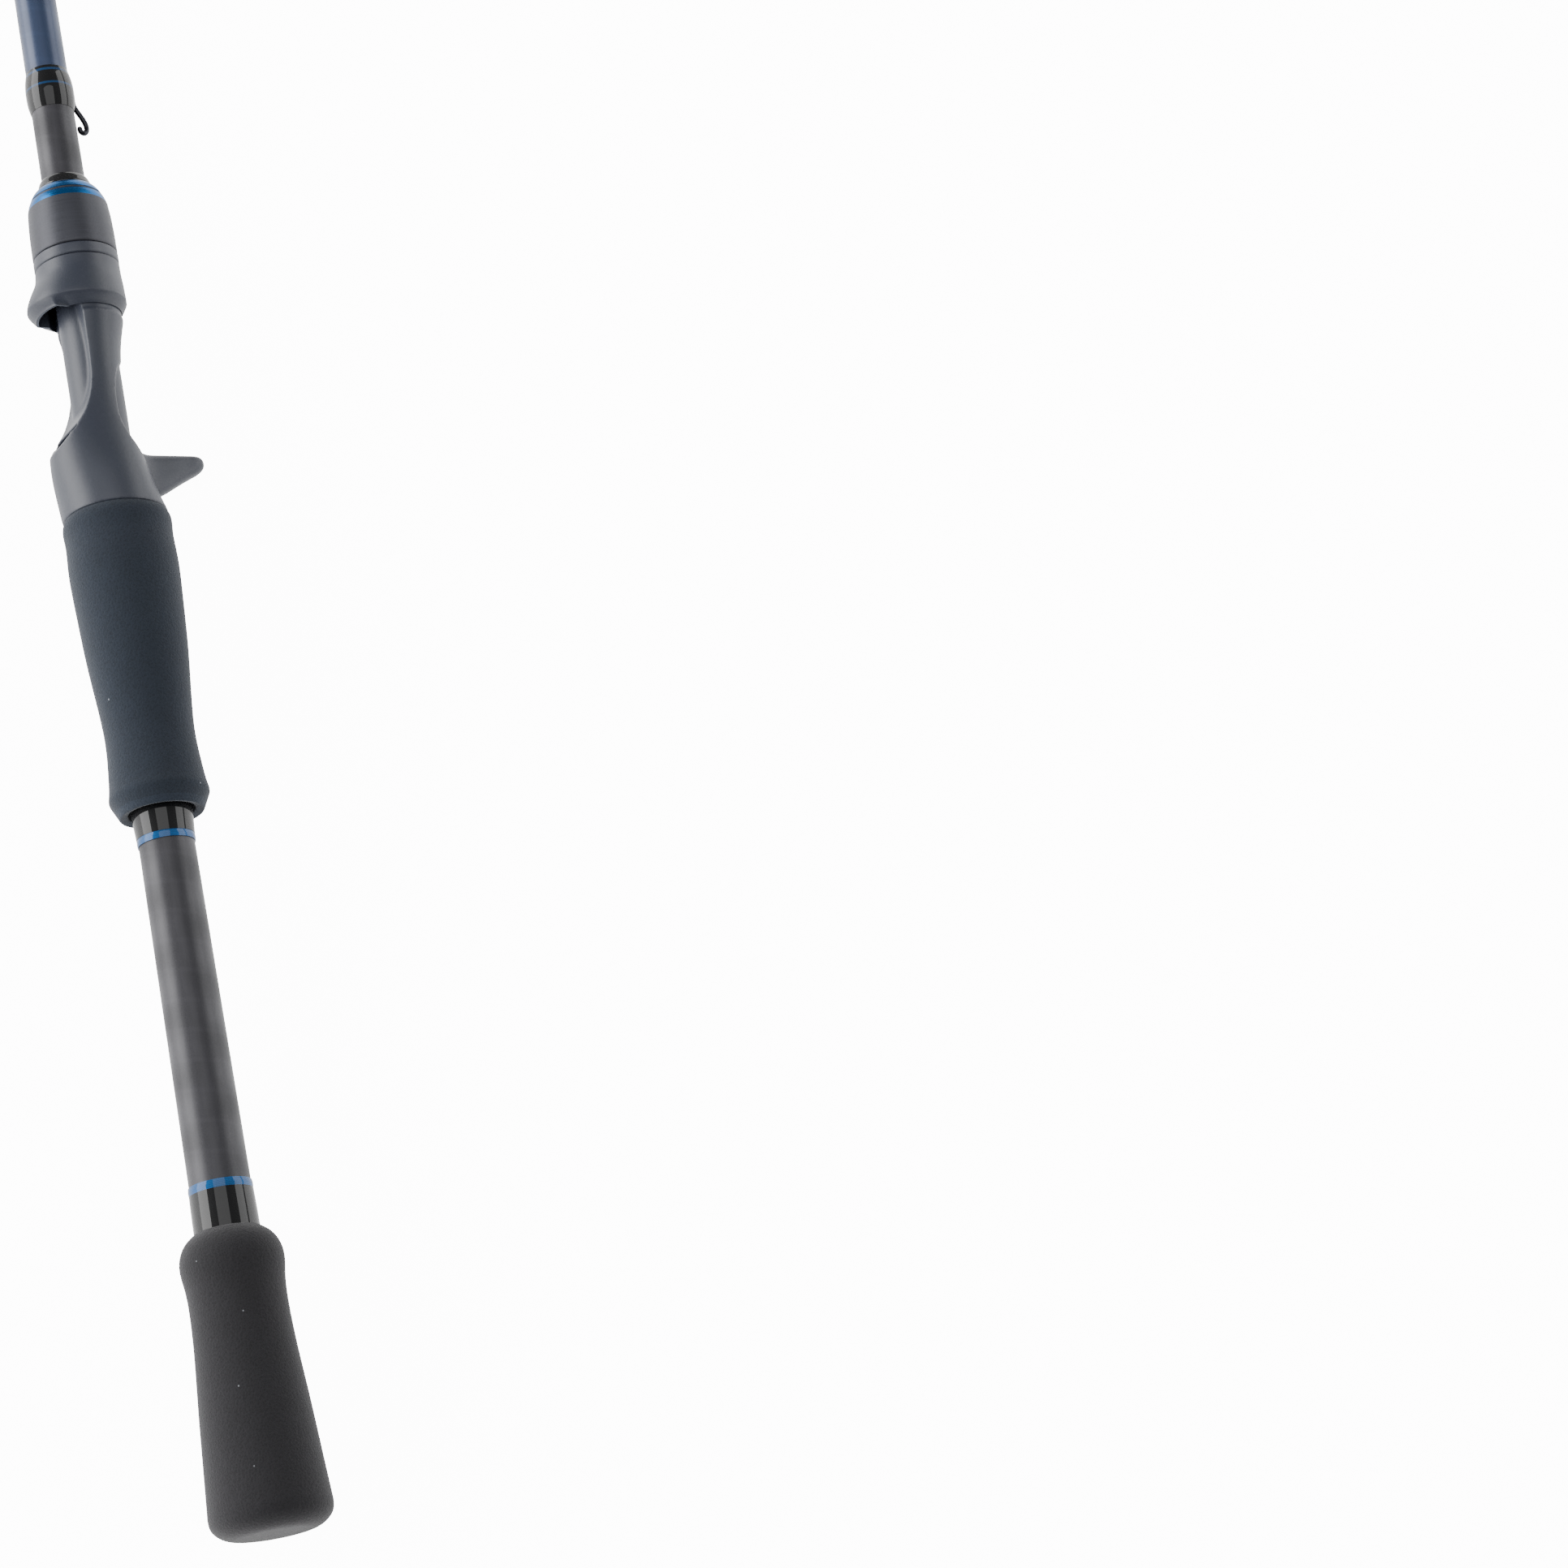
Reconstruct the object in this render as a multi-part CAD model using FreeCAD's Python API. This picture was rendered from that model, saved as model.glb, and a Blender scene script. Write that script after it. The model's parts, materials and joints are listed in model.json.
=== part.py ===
import FreeCAD, Part
import math
import os

from FreeCAD import Vector

# A seven foot baitcasting rod with no reel on it, lying on a table, in millimetres.
# X runs along the rod from the centre of the butt's flat end to the tip, and Z is up.
# Each piece is made with the reel side, where the reel foot and the guides sit, towards +Y and the
# trigger towards -Y. It is then rolled about X by ROLL, as the rod rests on its butt and its trigger.

os.makedirs("parts", exist_ok=True)

# ---------------------------------------------------------------- driving dimensions
ROD_LENGTH = 2134.0
ROLL = 26.0             # degrees that the rod is rolled over onto its trigger
GLUE = 0.02             # adhesive line between the blank and what is glued to it
SLIDE_FIT = 0.08        # radial clearance of the hood and the nut on the seat

# blank: (distance from the butt, outside radius), straight between the stations
BLANK = [(8.0, 7.9), (82.0, 7.4), (170.0, 6.82), (352.0, 5.5), (402.0, 5.3), (2128.0, 0.95)]
BLANK_WALL_BUTT = 1.2   # kept as far as the seat, then thinning evenly to the tip
BLANK_WALL_TIP = 0.45

BUTT_GRIP_END = 72.0
BUTT_END_FLAT_R = 9.0
BUTT_BAND = (81.3, 83.3)
REAR_BAND = (168.8, 170.6)
REAR_GRIP_START = 177.2
REAR_GRIP_END = 255.1
REAR_GRIP_FRONT_R = 13.1
BAND_RISE = (0.24, 0.34)  # thickness of a band's thread and resin, at its edges and its middle

CORE_R = 6.8            # round core that the reel foot lies on
SEAT_NECK_R = 9.3       # round neck that the hood slides on
SEAT_NECK_START = 309.0
SEAT_NECK_END = 322.0
BARREL_END = 341.3
BARREL_R = 8.3
BARREL_BORE_R = 7.0
ARBOR_START = 325.0
THREAD_PITCH = 2.0
THREAD_DEPTH = 0.6
KEY_WIDTH = 3.0
KEY_DEPTH = 0.7         # below the thread crests

FOOT_WIDTH = 13.0       # width of the pockets that take the reel foot
REAR_POCKET = (260.0, 278.0)  # start and end of the room under the fixed hood
REAR_POCKET_R = 12.3

TRIGGER_FRONT = 273.2
TRIGGER_REACH = 26.3
TRIGGER_THICKNESS = 6.4
TRIGGER_SQUARENESS = 0.8  # 1 is an ellipse, less is squarer

HOOD_LIP = 310.0
HOOD_CREST = 313.0
HOOD_END = 324.3
HOOD_CREST_REEL_R = 14.5
HOOD_CREST_SIDE_R = 12.3
HOOD_CREST_TRIGGER_R = 10.7
HOOD_END_R = 10.7
HOOD_POCKET_END = 319.5
HOOD_POCKET_R = 12.1    # roof of the hood's pocket
CUSHION = 0.5           # thickness of the liner in the hood's pocket

NUT_START = 327.6
NUT_R = 10.75
NUT_BORE_END = 342.6
NUT_TRIM = (341.2, 346.2)
NUT_NOSE_END = 349.3
NUT_HOLE_R = 6.0

KEEPER_WIRE_R = 0.42
KEEPER_GAP = 0.05       # under the keeper's wire, where resin fills in
KEEPER_FOOT = (378.0, 372.4)  # toe and heel of the keeper's foot
KEEPER_WRAP = (369.3, 380.8)
KEEPER_PART = 6.0       # half angle, in degrees, of the gap in the wrap that the foot fills

# guides, from the butt: distance from the butt, outside radius of the ceramic ring, feet
GUIDES = [
    (805.0, 8.0, 2),
    (1040.0, 6.0, 2),
    (1245.0, 5.0, 2),
    (1425.0, 4.0, 1),
    (1585.0, 3.5, 1),
    (1725.0, 3.0, 1),
    (1845.0, 3.0, 1),
    (1950.0, 3.0, 1),
    (2045.0, 3.0, 1),
]
RING_SECTION = 0.85     # radial thickness of a ceramic ring
RING_WIDTH = 1.5
FRAME_SECTION = 0.5     # radial thickness of the metal band round a ring
FOOT_PLATE = (2.2, 0.7)  # width and thickness of a guide's foot
WRAP_INSET = 1.3        # bare foot between a guide's leg and its wrap
WRAP_OVERRUN = 1.5      # wrap past a foot's toe
TIP_RING_R = 3.0

AXIS = Vector(1, 0, 0)
ORIGIN = Vector(0, 0, 0)


# ---------------------------------------------------------------- helpers
def save(name, shape):
    """Write one sub-part, as its solids only."""
    solids = shape.Solids
    out = solids[0] if len(solids) == 1 else Part.makeCompound(solids)
    out = out.rotated(ORIGIN, AXIS, ROLL)
    if not out.isValid():
        print("not valid:", name)
    out.exportStep("parts/%s.step" % name)
    print("%-18s solids %d  volume %9.1f mm3" % (name, len(solids), out.Volume))


def edge(points):
    """A straight edge through two (x, y) points, or a smooth curve through more."""
    vectors = [Vector(x, y, 0) for x, y in points]
    if len(vectors) == 2:
        return Part.LineSegment(*vectors).toShape()
    curve = Part.BSplineCurve()
    curve.interpolate(vectors)
    return curve.toShape()


def face(*runs):
    """A flat face in the XY plane whose outline is the runs in turn, closed by a straight edge."""
    edges = [edge(run) for run in runs]
    if runs[-1][-1] != runs[0][0]:
        edges.append(edge([runs[-1][-1], runs[0][0]]))
    return Part.Face(Part.Wire(edges))


def turned(*runs):
    """The solid that an outline of (x, radius) points makes when turned about the rod's axis."""
    return face(*runs).revolve(ORIGIN, AXIS, 360)


def blade(thickness, *runs):
    """A side-view outline given a thickness across the rod, centred on it."""
    return face(*runs).extrude(Vector(0, 0, thickness)).translated(Vector(0, 0, -thickness / 2))


def rod_cylinder(radius, start, end, y=0.0):
    """A plain cylinder along the rod, from start to end."""
    return Part.makeCylinder(radius, end - start, Vector(start, y, 0), AXIS)


def blank_radius(x):
    """Outside radius of the blank, straight between its stations."""
    for (x0, r0), (x1, r1) in zip(BLANK, BLANK[1:]):
        if x <= x1:
            return r0 + (r1 - r0) * (x - x0) / (x1 - x0)
    return BLANK[-1][1]


def blank_line(start, end, gap=0.0):
    """Points along the blank's surface from start to end, with its own stations between."""
    inner = [x for x, _ in BLANK if start < x < end]
    return [(x, blank_radius(x) + gap) for x in [start] + inner + [end]]


def straight_runs(points):
    """Split a list of points into the straight runs between them."""
    return [list(pair) for pair in zip(points, points[1:])]


def blank_room(start, end):
    """The blank's own shape from start to end with the glue line added, to cut bores with."""
    line = blank_line(start, end, GLUE)
    return turned(*straight_runs(line), [line[-1], (end, 0.0)], [(end, 0.0), (start, 0.0)])


def sleeve(start, end, outer_runs, gap=GLUE):
    """A turned piece on the blank: its outer runs go from start to end, its bore follows the blank."""
    bore = blank_line(start, end, gap)[::-1]
    return turned(*outer_runs, [outer_runs[-1][-1], bore[0]], *straight_runs(bore))


def section(x, reel, side, trigger):
    """A closed smooth section across the rod: a half ellipse to the reel side, another to the trigger."""
    count = 24
    points = []
    for i in range(count):
        turn = 2 * math.pi * i / count
        across = reel if math.cos(turn) > 0 else trigger
        points.append(Vector(x, across * math.cos(turn), side * math.sin(turn)))
    curve = Part.BSplineCurve()
    curve.interpolate(points, PeriodicFlag=True)
    return Part.Wire([curve.toShape()])


def skin(stations):
    """A smooth solid through sections given as (x, reel radius, side radius, trigger radius)."""
    return Part.makeLoft([section(*station) for station in stations], True)


# ---------------------------------------------------------------- blank and grips
def make_blank():
    """The hollow tapered tube that everything else is glued to."""
    start, last, end = BLANK[0], BLANK[-2], BLANK[-1]
    inner_end = (end[0], end[1] - BLANK_WALL_TIP)
    inner_last = (last[0], last[1] - BLANK_WALL_BUTT)
    inner_start = (start[0], start[1] - BLANK_WALL_BUTT)
    return turned(*straight_runs(BLANK), [end, inner_end], [inner_end, inner_last], [inner_last, inner_start])


def make_butt_grip():
    flat = [(0.0, 0.0), (0.0, BUTT_END_FLAT_R)]
    dome = [(0.0, BUTT_END_FLAT_R), (0.5, 11.0), (1.7, 13.0), (3.4, 14.3), (5.7, 14.65)]
    flare = [(5.7, 14.65), (17.0, 13.9), (32.0, 12.9), (44.0, 12.0), (53.0, 11.65), (60.0, 11.95)]
    bulge = [(60.0, 11.95), (64.6, 12.4), (67.6, 11.8), (70.2, 10.2), (BUTT_GRIP_END, 7.9)]
    seat = BLANK[0][0]
    bore = blank_line(seat, BUTT_GRIP_END, GLUE)[::-1]
    floor = [(seat, blank_radius(seat) + GLUE), (seat, 0.0)]
    return turned(flat, dome, flare, bulge, [bulge[-1], bore[0]], *straight_runs(bore), floor)


def make_rear_grip():
    start, end = REAR_GRIP_START, REAR_GRIP_END
    lip = [(start, 8.3), (start - 0.6, 10.2)]
    tail = [(start - 0.6, 10.2), (177.9, 11.3), (180.2, 12.1), (182.6, 12.15), (187.0, 11.6)]
    body = [(187.0, 11.6), (196.0, 11.05), (204.0, 11.4), (218.0, 12.6), (232.0, 13.35), (244.0, 13.6)]
    front = [(244.0, 13.6), (250.0, 13.45), (end, REAR_GRIP_FRONT_R)]
    recess = [(start + 4.0, blank_radius(start + 4.0) + GLUE), (start + 4.0, 8.3), (start, 8.3)]
    bore = blank_line(start + 4.0, end, GLUE)[::-1]
    return turned(lip, tail, body, front, [front[-1], bore[0]], *straight_runs(bore),
                  *straight_runs(recess))


def make_butt_winding():
    start, end = BUTT_GRIP_END, BUTT_BAND[0]
    top = [(start, 7.88), (start + 3, 7.84), (end - 2, 7.74), (end, 7.68)]
    return sleeve(start, end, [top])


def make_band(start, end):
    """A thread band under clear resin: a low ring with rounded shoulders."""
    edge_rise, middle_rise = BAND_RISE
    r = blank_radius(start)
    crown = [(start, r + edge_rise), ((start + end) / 2, r + middle_rise), (end, r + edge_rise)]
    return sleeve(start, end, [crown])


def make_rear_winding():
    start, end = REAR_BAND[1], REAR_GRIP_START + 4.0
    top = [(start, 7.14), (start + 2.5, 7.3), (end - 2, 7.75), (end, 7.95)]
    return sleeve(start, end, [top])


# ---------------------------------------------------------------- reel seat
SEAT_SKIN = [
    (REAR_GRIP_END, 13.1, 13.1, 13.1),
    (257.5, 13.5, 13.15, 12.0),
    (261.0, 13.9, 13.0, 10.6),
    (266.0, 14.45, 12.45, 9.3),
    (271.0, 14.6, 11.5, 8.4),
    (276.0, 14.0, 10.3, 7.7),
    (282.0, 12.2, 8.9, 7.3),
    (290.0, 10.0, 7.95, 7.0),
    (297.0, 9.0, 7.95, 7.15),
    (303.5, 9.0, 8.5, 8.2),
    (308.0, 9.4, 9.4, 9.3),
    (311.0, 10.0, 10.0, 10.0),
    (316.0, 10.5, 10.5, 10.5),
    (SEAT_NECK_END, 10.5, 10.5, 10.5),
]

# side view of the upper edge of the seat's wall: down the hood's mouth and along the bed
BED_EDGE = [(270.4, 16.5), (273.2, 13.3), (277.0, 10.5), (280.6, 7.9), (284.6, 5.9), (290.0, 4.3),
            (297.0, 3.75), (304.0, 3.9), (313.0, 4.7)]
# side view of the lower edge of the wall, over the finger's hollow
FINGER_EDGE = [(270.0, -10.0), (271.7, -4.7), (274.5, -2.3), (281.0, -1.1), (288.5, -1.9), (293.6, -3.4),
               (296.8, -6.0), (298.0, -10.0)]


def bed_cut():
    """Everything above the wall's upper edge: the bed, and the slanted mouth of the fixed hood."""
    end, top, low = SEAT_NECK_END + 5, 20.0, BED_EDGE[-1][1]
    return blade(40, BED_EDGE, [BED_EDGE[-1], (end, low)], [(end, low), (end, top)],
                 [(end, top), (BED_EDGE[0][0], top)])


def finger_cut():
    """The hollow for the first finger in front of the trigger."""
    return blade(40, FINGER_EDGE)


def rear_pocket():
    """The room under the fixed hood that takes the rear tip of the reel foot."""
    start, end = REAR_POCKET
    room = rod_cylinder(REAR_POCKET_R, start, end)
    return room.common(Part.makeBox(end - start, 20, FOOT_WIDTH, Vector(start, 3.0, -FOOT_WIDTH / 2)))


def neck_turning():
    """What is turned away to leave the round neck that the hood slides on."""
    start, end = SEAT_NECK_START, SEAT_NECK_END + 1
    return rod_cylinder(20.0, start, end).cut(rod_cylinder(SEAT_NECK_R, start - 1, end + 1))


def lever_section(reach, back, front, thickness):
    """A rounded-box section of the trigger, square to the rod's radius."""
    count = 24
    middle, half = (back + front) / 2, (front - back) / 2
    points = []
    for i in range(count):
        c, s = math.cos(2 * math.pi * i / count), math.sin(2 * math.pi * i / count)
        along = math.copysign(abs(c) ** TRIGGER_SQUARENESS, c) * half
        across = math.copysign(abs(s) ** TRIGGER_SQUARENESS, s) * thickness / 2
        points.append(Vector(middle + along, -reach, across))
    curve = Part.BSplineCurve()
    curve.interpolate(points, PeriodicFlag=True)
    return Part.Wire([curve.toShape()])


def make_trigger():
    """The trigger: a straight front, a swept back, a round tip and a flared root."""
    front, tip = TRIGGER_FRONT, TRIGGER_REACH
    stations = [
        (5.0, front - 16.5, front + 3.6, 9.5),
        (8.0, front - 14.2, front + 1.1, 7.8),
        (10.0, front - 12.9, front + 0.2, 7.0),
        (12.8, front - 11.5, front - 0.1, TRIGGER_THICKNESS),
        (18.3, front - 8.3, front, TRIGGER_THICKNESS - 0.4),
        (22.0, front - 6.1, front + 0.1, TRIGGER_THICKNESS - 0.8),
        (tip - 2.0, front - 4.8, front, 5.2),
        (tip - 0.9, front - 4.0, front - 0.4, 4.2),
        (tip - 0.3, front - 3.3, front - 1.0, 2.8),
        (tip, front - 2.6, front - 1.7, 1.2),
    ]
    return Part.makeLoft([lever_section(*station) for station in stations], True)


def make_barrel():
    """The threaded front of the seat, with its thread as even rings."""
    barrel = rod_cylinder(BARREL_R, SEAT_NECK_END - 1, BARREL_END)
    first = SEAT_NECK_END + THREAD_PITCH
    grooves = int((BARREL_END - first) / THREAD_PITCH)
    for i in range(grooves):
        x = first + i * THREAD_PITCH
        groove = turned([(x - 0.6, BARREL_R + 0.1), (x, BARREL_R - THREAD_DEPTH)],
                        [(x, BARREL_R - THREAD_DEPTH), (x + 0.6, BARREL_R + 0.1)])
        barrel = barrel.cut(groove)
    return barrel


def keyway():
    """The slot along the trigger side that stops the hood turning."""
    start = SEAT_NECK_START
    floor = BARREL_R - KEY_DEPTH
    return Part.makeBox(BARREL_END - start + 1, 5.0, KEY_WIDTH, Vector(start, -floor - 5.0, -KEY_WIDTH / 2))


def make_seat():
    """Skin, less bed, hollow and pocket; then the core that the reel foot lies on, trigger and barrel."""
    body = skin(SEAT_SKIN).cut(neck_turning()).cut(bed_cut()).cut(finger_cut()).cut(rear_pocket())
    body = body.fuse(rod_cylinder(CORE_R, REAR_GRIP_END + 2, SEAT_NECK_END + 1.5))
    body = body.fuse(make_trigger()).fuse(make_barrel())
    bore = blank_room(REAR_GRIP_END - 1, BARREL_END + 1)
    arbor_room = rod_cylinder(BARREL_BORE_R, ARBOR_START, BARREL_END + 1)
    return body.cut(bore).cut(arbor_room).cut(keyway())


def make_barrel_arbor():
    start, end = ARBOR_START, BARREL_END
    return sleeve(start, end, [[(start, BARREL_BORE_R - GLUE), (end, BARREL_BORE_R - GLUE)]])


# ---------------------------------------------------------------- hood and nut
HOOD_SKIN = [
    (HOOD_LIP + 0.6, 13.5, 11.4, 10.0),
    (HOOD_LIP + 1.6, 14.25, 12.1, 10.5),
    (HOOD_CREST, HOOD_CREST_REEL_R, HOOD_CREST_SIDE_R, HOOD_CREST_TRIGGER_R),
    (315.0, 14.0, 12.1, 10.75),
    (318.0, 12.6, 11.6, 10.75),
    (321.0, 11.2, 11.0, 10.7),
    (HOOD_END, HOOD_END_R, HOOD_END_R, HOOD_END_R),
]


def foot_room(inset):
    """The pocket under the hood for the front tip of the reel foot: round roof, falling to the front."""
    start, end = HOOD_LIP - 2, HOOD_POCKET_END - inset
    roof = HOOD_POCKET_R - inset
    low = roof - 2.1
    room = turned([(start, 0.0), (start, roof)], [(start, roof), (HOOD_CREST + 0.5, roof)],
                  [(HOOD_CREST + 0.5, roof), (end, low)], [(end, low), (end, 0.0)])
    width = FOOT_WIDTH - 2 * inset
    return room.common(Part.makeBox(end - start, 20, width, Vector(start, 3.0, -width / 2)))


def make_hood():
    bore_r = SEAT_NECK_R + SLIDE_FIT
    shell = skin(HOOD_SKIN)
    bore = rod_cylinder(bore_r, HOOD_LIP - 2, HOOD_END + 2)
    key_end = HOOD_END
    key = Part.makeBox(6.0, 1.6, KEY_WIDTH - 2 * SLIDE_FIT,
                       Vector(key_end - 6.0, -bore_r - 0.5, -KEY_WIDTH / 2 + SLIDE_FIT))
    return shell.cut(bore).cut(foot_room(0.0)).fuse(key).removeSplitter()


def make_hood_cushion():
    """A thin liner over the roof and the sides of the pocket."""
    band = foot_room(0.0).cut(foot_room(CUSHION))
    band = band.common(skin(HOOD_SKIN))
    return band.cut(rod_cylinder(SEAT_NECK_R + SLIDE_FIT, HOOD_LIP - 3, HOOD_END + 2)).common(
        Part.makeBox(40, 20, 40, Vector(HOOD_LIP - 3, 3.0, -20)))


def make_hood_ring():
    """The friction ring between the hood and the nut."""
    start, end = HOOD_END + 0.1, NUT_START - 0.15
    crown = [(start, 10.55), (start + 0.5, NUT_R), (end - 0.5, NUT_R), (end, 10.55)]
    inner = SEAT_NECK_R + SLIDE_FIT
    return turned(*straight_runs(crown), [crown[-1], (end, inner)], [(end, inner), (start, inner)])


def make_nut():
    rear = [(NUT_START, 10.5), (NUT_START + 0.4, NUT_R), (333.0, 10.7), (338.0, 10.5), (NUT_TRIM[0], 10.25)]
    seat = [(NUT_TRIM[0], 10.25), (NUT_TRIM[0], 9.3), (343.6, 8.4), (NUT_TRIM[1], 6.9), (347.0, 6.9),
            (347.0, NUT_HOLE_R)]
    bore_r = BARREL_R + SLIDE_FIT
    inside = [(347.0, NUT_HOLE_R), (NUT_BORE_END, NUT_HOLE_R), (NUT_BORE_END, bore_r), (NUT_START, bore_r),
              (NUT_START, 10.5)]
    return turned(rear[0:2], rear[1:], *straight_runs(seat), *straight_runs(inside))


def make_nut_trim():
    """The ring on the nut's shoulder, with a fine groove round its middle."""
    outer = [(NUT_TRIM[0], 10.25), (342.3, 9.98), (343.3, 9.6)]
    groove = [(343.3, 9.6), (343.5, 9.15), (343.9, 9.0), (344.1, 9.2)]
    front = [(344.1, 9.2), (345.2, 8.6), (NUT_TRIM[1], 7.9)]
    inner = [(NUT_TRIM[1], 7.9), (NUT_TRIM[1], 6.9), (343.6, 8.4), (NUT_TRIM[0], 9.3), (NUT_TRIM[0], 10.25)]
    return turned(outer, *straight_runs(groove), front, *straight_runs(inner))


def make_nut_collar():
    """The gloss collar on the nut's nose, which runs along the blank."""
    start, end = 347.0, NUT_NOSE_END
    crown = [(start, 7.0), (start + 0.7, 6.75), (end - 0.5, 6.35), (end, 6.1)]
    back = [(end, 6.1), (end, 5.85), (start, 5.85)]
    return turned(crown, *straight_runs(back))


# ---------------------------------------------------------------- hook keeper
def wire(points, radius):
    """A round wire along straight runs joined by tangent arcs."""
    edges = []
    here = points[0]
    for before, corner, after in zip(points, points[1:], points[2:]):
        a = (before - corner).normalize()
        b = (after - corner).normalize()
        run = 0.45 * min((before - corner).Length, (after - corner).Length)
        enter = corner + a * run
        leave = corner + b * run
        half = a.getAngle(b) / 2
        centre = corner + (a + b).normalize() * (run / math.cos(half))
        middle = centre + (corner - centre).normalize() * run * math.tan(half)
        edges.append(Part.LineSegment(here, enter).toShape())
        edges.append(Part.Arc(enter, middle, leave).toShape())
        here = leave
    edges.append(Part.LineSegment(here, points[-1]).toShape())
    path = Part.Wire(edges)
    start = Part.Wire([Part.Circle(points[0], points[1] - points[0], radius).toShape()])
    return path.makePipeShell([start], True, False)


def make_keeper():
    """A small wire claw on the trigger side: its foot lies along the blank under the wrap."""
    lift = KEEPER_WIRE_R + KEEPER_GAP
    toe, heel = KEEPER_FOOT
    points = [Vector(toe, -blank_radius(toe) - lift, 0), Vector(heel, -blank_radius(heel) - lift, 0),
              Vector(369.6, -8.7, 0), Vector(366.4, -9.1, 0), Vector(364.6, -7.0, 0)]
    claw = wire(points, KEEPER_WIRE_R)
    return claw.fuse(Part.makeSphere(KEEPER_WIRE_R * 1.15, points[-1])).removeSplitter()


def make_keeper_wrap():
    """The winding that holds the keeper, parted along the trigger side by the keeper's foot."""
    start, end = KEEPER_WRAP
    top = [(start, 5.9), (start + 1.4, 6.0), (start + 4.2, 6.15), (start + 7.7, 6.1), (end - 1.2, 5.8), (end, 5.6)]
    bore = blank_line(start, end, GLUE)[::-1]
    outline = face(*straight_runs(top), [top[-1], bore[0]], *straight_runs(bore), [bore[-1], top[0]])
    return outline.rotated(ORIGIN, AXIS, 180 + KEEPER_PART).revolve(ORIGIN, AXIS, 360 - 2 * KEEPER_PART)


# ---------------------------------------------------------------- guides
def ring_height(x, ring_r):
    """Height of a guide ring's centre over the rod's axis."""
    return blank_radius(x) + 1.6 + 0.25 * ring_r + ring_r


def make_ring(x, y, ring_r):
    """A ceramic ring: a round-edged band."""
    mid = ring_r - RING_SECTION / 2
    band = Part.makeTorus(mid, RING_SECTION / 2, Vector(x, y, 0), AXIS)
    tube = rod_cylinder(ring_r, x - RING_WIDTH / 2, x + RING_WIDTH / 2, y)
    tube = tube.cut(rod_cylinder(ring_r - RING_SECTION * 0.55, x - 2, x + 2, y))
    return tube.fuse(band).removeSplitter()


def strut(start, end, radius):
    """A straight round strut between two points."""
    run = end - start
    return Part.makeCylinder(radius, run.Length, start, run)


def foot_block(heel, toe, low):
    """A guide's foot from heel to toe, tapered towards the toe, down to a height over the rod's axis."""
    width, thick = FOOT_PLATE
    top_heel = blank_radius(heel) + thick
    top_toe = blank_radius(toe) + 0.25
    return blade(width, [(heel, low), (heel, top_heel)], [(heel, top_heel), (toe, top_toe)],
                 [(toe, top_toe), (toe, low)])


def foot_plate(heel, toe):
    """A guide's foot with its underside hollowed to lie on the blank."""
    low = blank_radius(max(heel, toe)) - 0.5
    return foot_block(heel, toe, low).cut(blank_room(min(heel, toe) - 1, max(heel, toe) + 1))


def guide_feet(x, ring_r, feet):
    """Heel and toe of each foot, the longer one towards the butt."""
    reach = 2.0 + 0.9 * ring_r
    length = 7.0 + 0.8 * ring_r
    found = [(x - reach, x - reach - length)]
    if feet == 2:
        found.append((x + 0.7 * reach, x + 0.7 * reach + length * 0.8))
    return found


def make_guide_frame(x, ring_r, feet):
    y = ring_height(x, ring_r)
    half = RING_WIDTH * 0.4
    band = rod_cylinder(ring_r + FRAME_SECTION, x - half, x + half, y).cut(rod_cylinder(ring_r, x - 2, x + 2, y))
    frame = band
    wire_r = 0.35 + 0.03 * ring_r
    for heel, toe in guide_feet(x, ring_r, feet):
        frame = frame.fuse(foot_plate(heel, toe))
        for side in (-1, 1):
            turn = math.radians(40) * side
            grip_r = ring_r + FRAME_SECTION / 2 + 0.1
            high = Vector(x, y - grip_r * math.cos(turn), grip_r * math.sin(turn))
            low = Vector(heel, blank_radius(heel) + FOOT_PLATE[1] / 2 + 0.1, 0.6 * side)
            frame = frame.fuse(strut(low, high, wire_r))
    ring_room = rod_cylinder(ring_r, x - 3, x + 3, y)
    under = rod_cylinder(blank_radius(x - 2 * ring_r) + GLUE, x - 30, x + 30)
    trimmed = frame.cut(ring_room)
    return trimmed.cut(under.common(rod_cylinder(20, x - 3 * ring_r, x + 3 * ring_r))).removeSplitter()


def make_wrap(start, end, rise):
    """A thread wrap under resin, with rounded ends."""
    length = end - start
    r0, r1 = blank_radius(start), blank_radius(end)
    top = [(start, r0 + 0.12), (start + 0.12 * length, r0 + rise), (end - 0.12 * length, r1 + rise),
           (end, r1 + 0.12)]
    return sleeve(start, end, [top])


def make_guide_wraps(x, ring_r, feet):
    """One wrap over each foot of a guide, from near its heel to just past its toe."""
    wraps = []
    for heel, toe in guide_feet(x, ring_r, feet):
        way = math.copysign(1.0, toe - heel)
        ends = sorted((heel + WRAP_INSET * way, toe + WRAP_OVERRUN * way))
        wrap = make_wrap(ends[0], ends[1], FOOT_PLATE[1] + 0.25)
        wraps.append(wrap.cut(foot_block(heel, toe, 0.0)))
    return Part.makeCompound(wraps)


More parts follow.
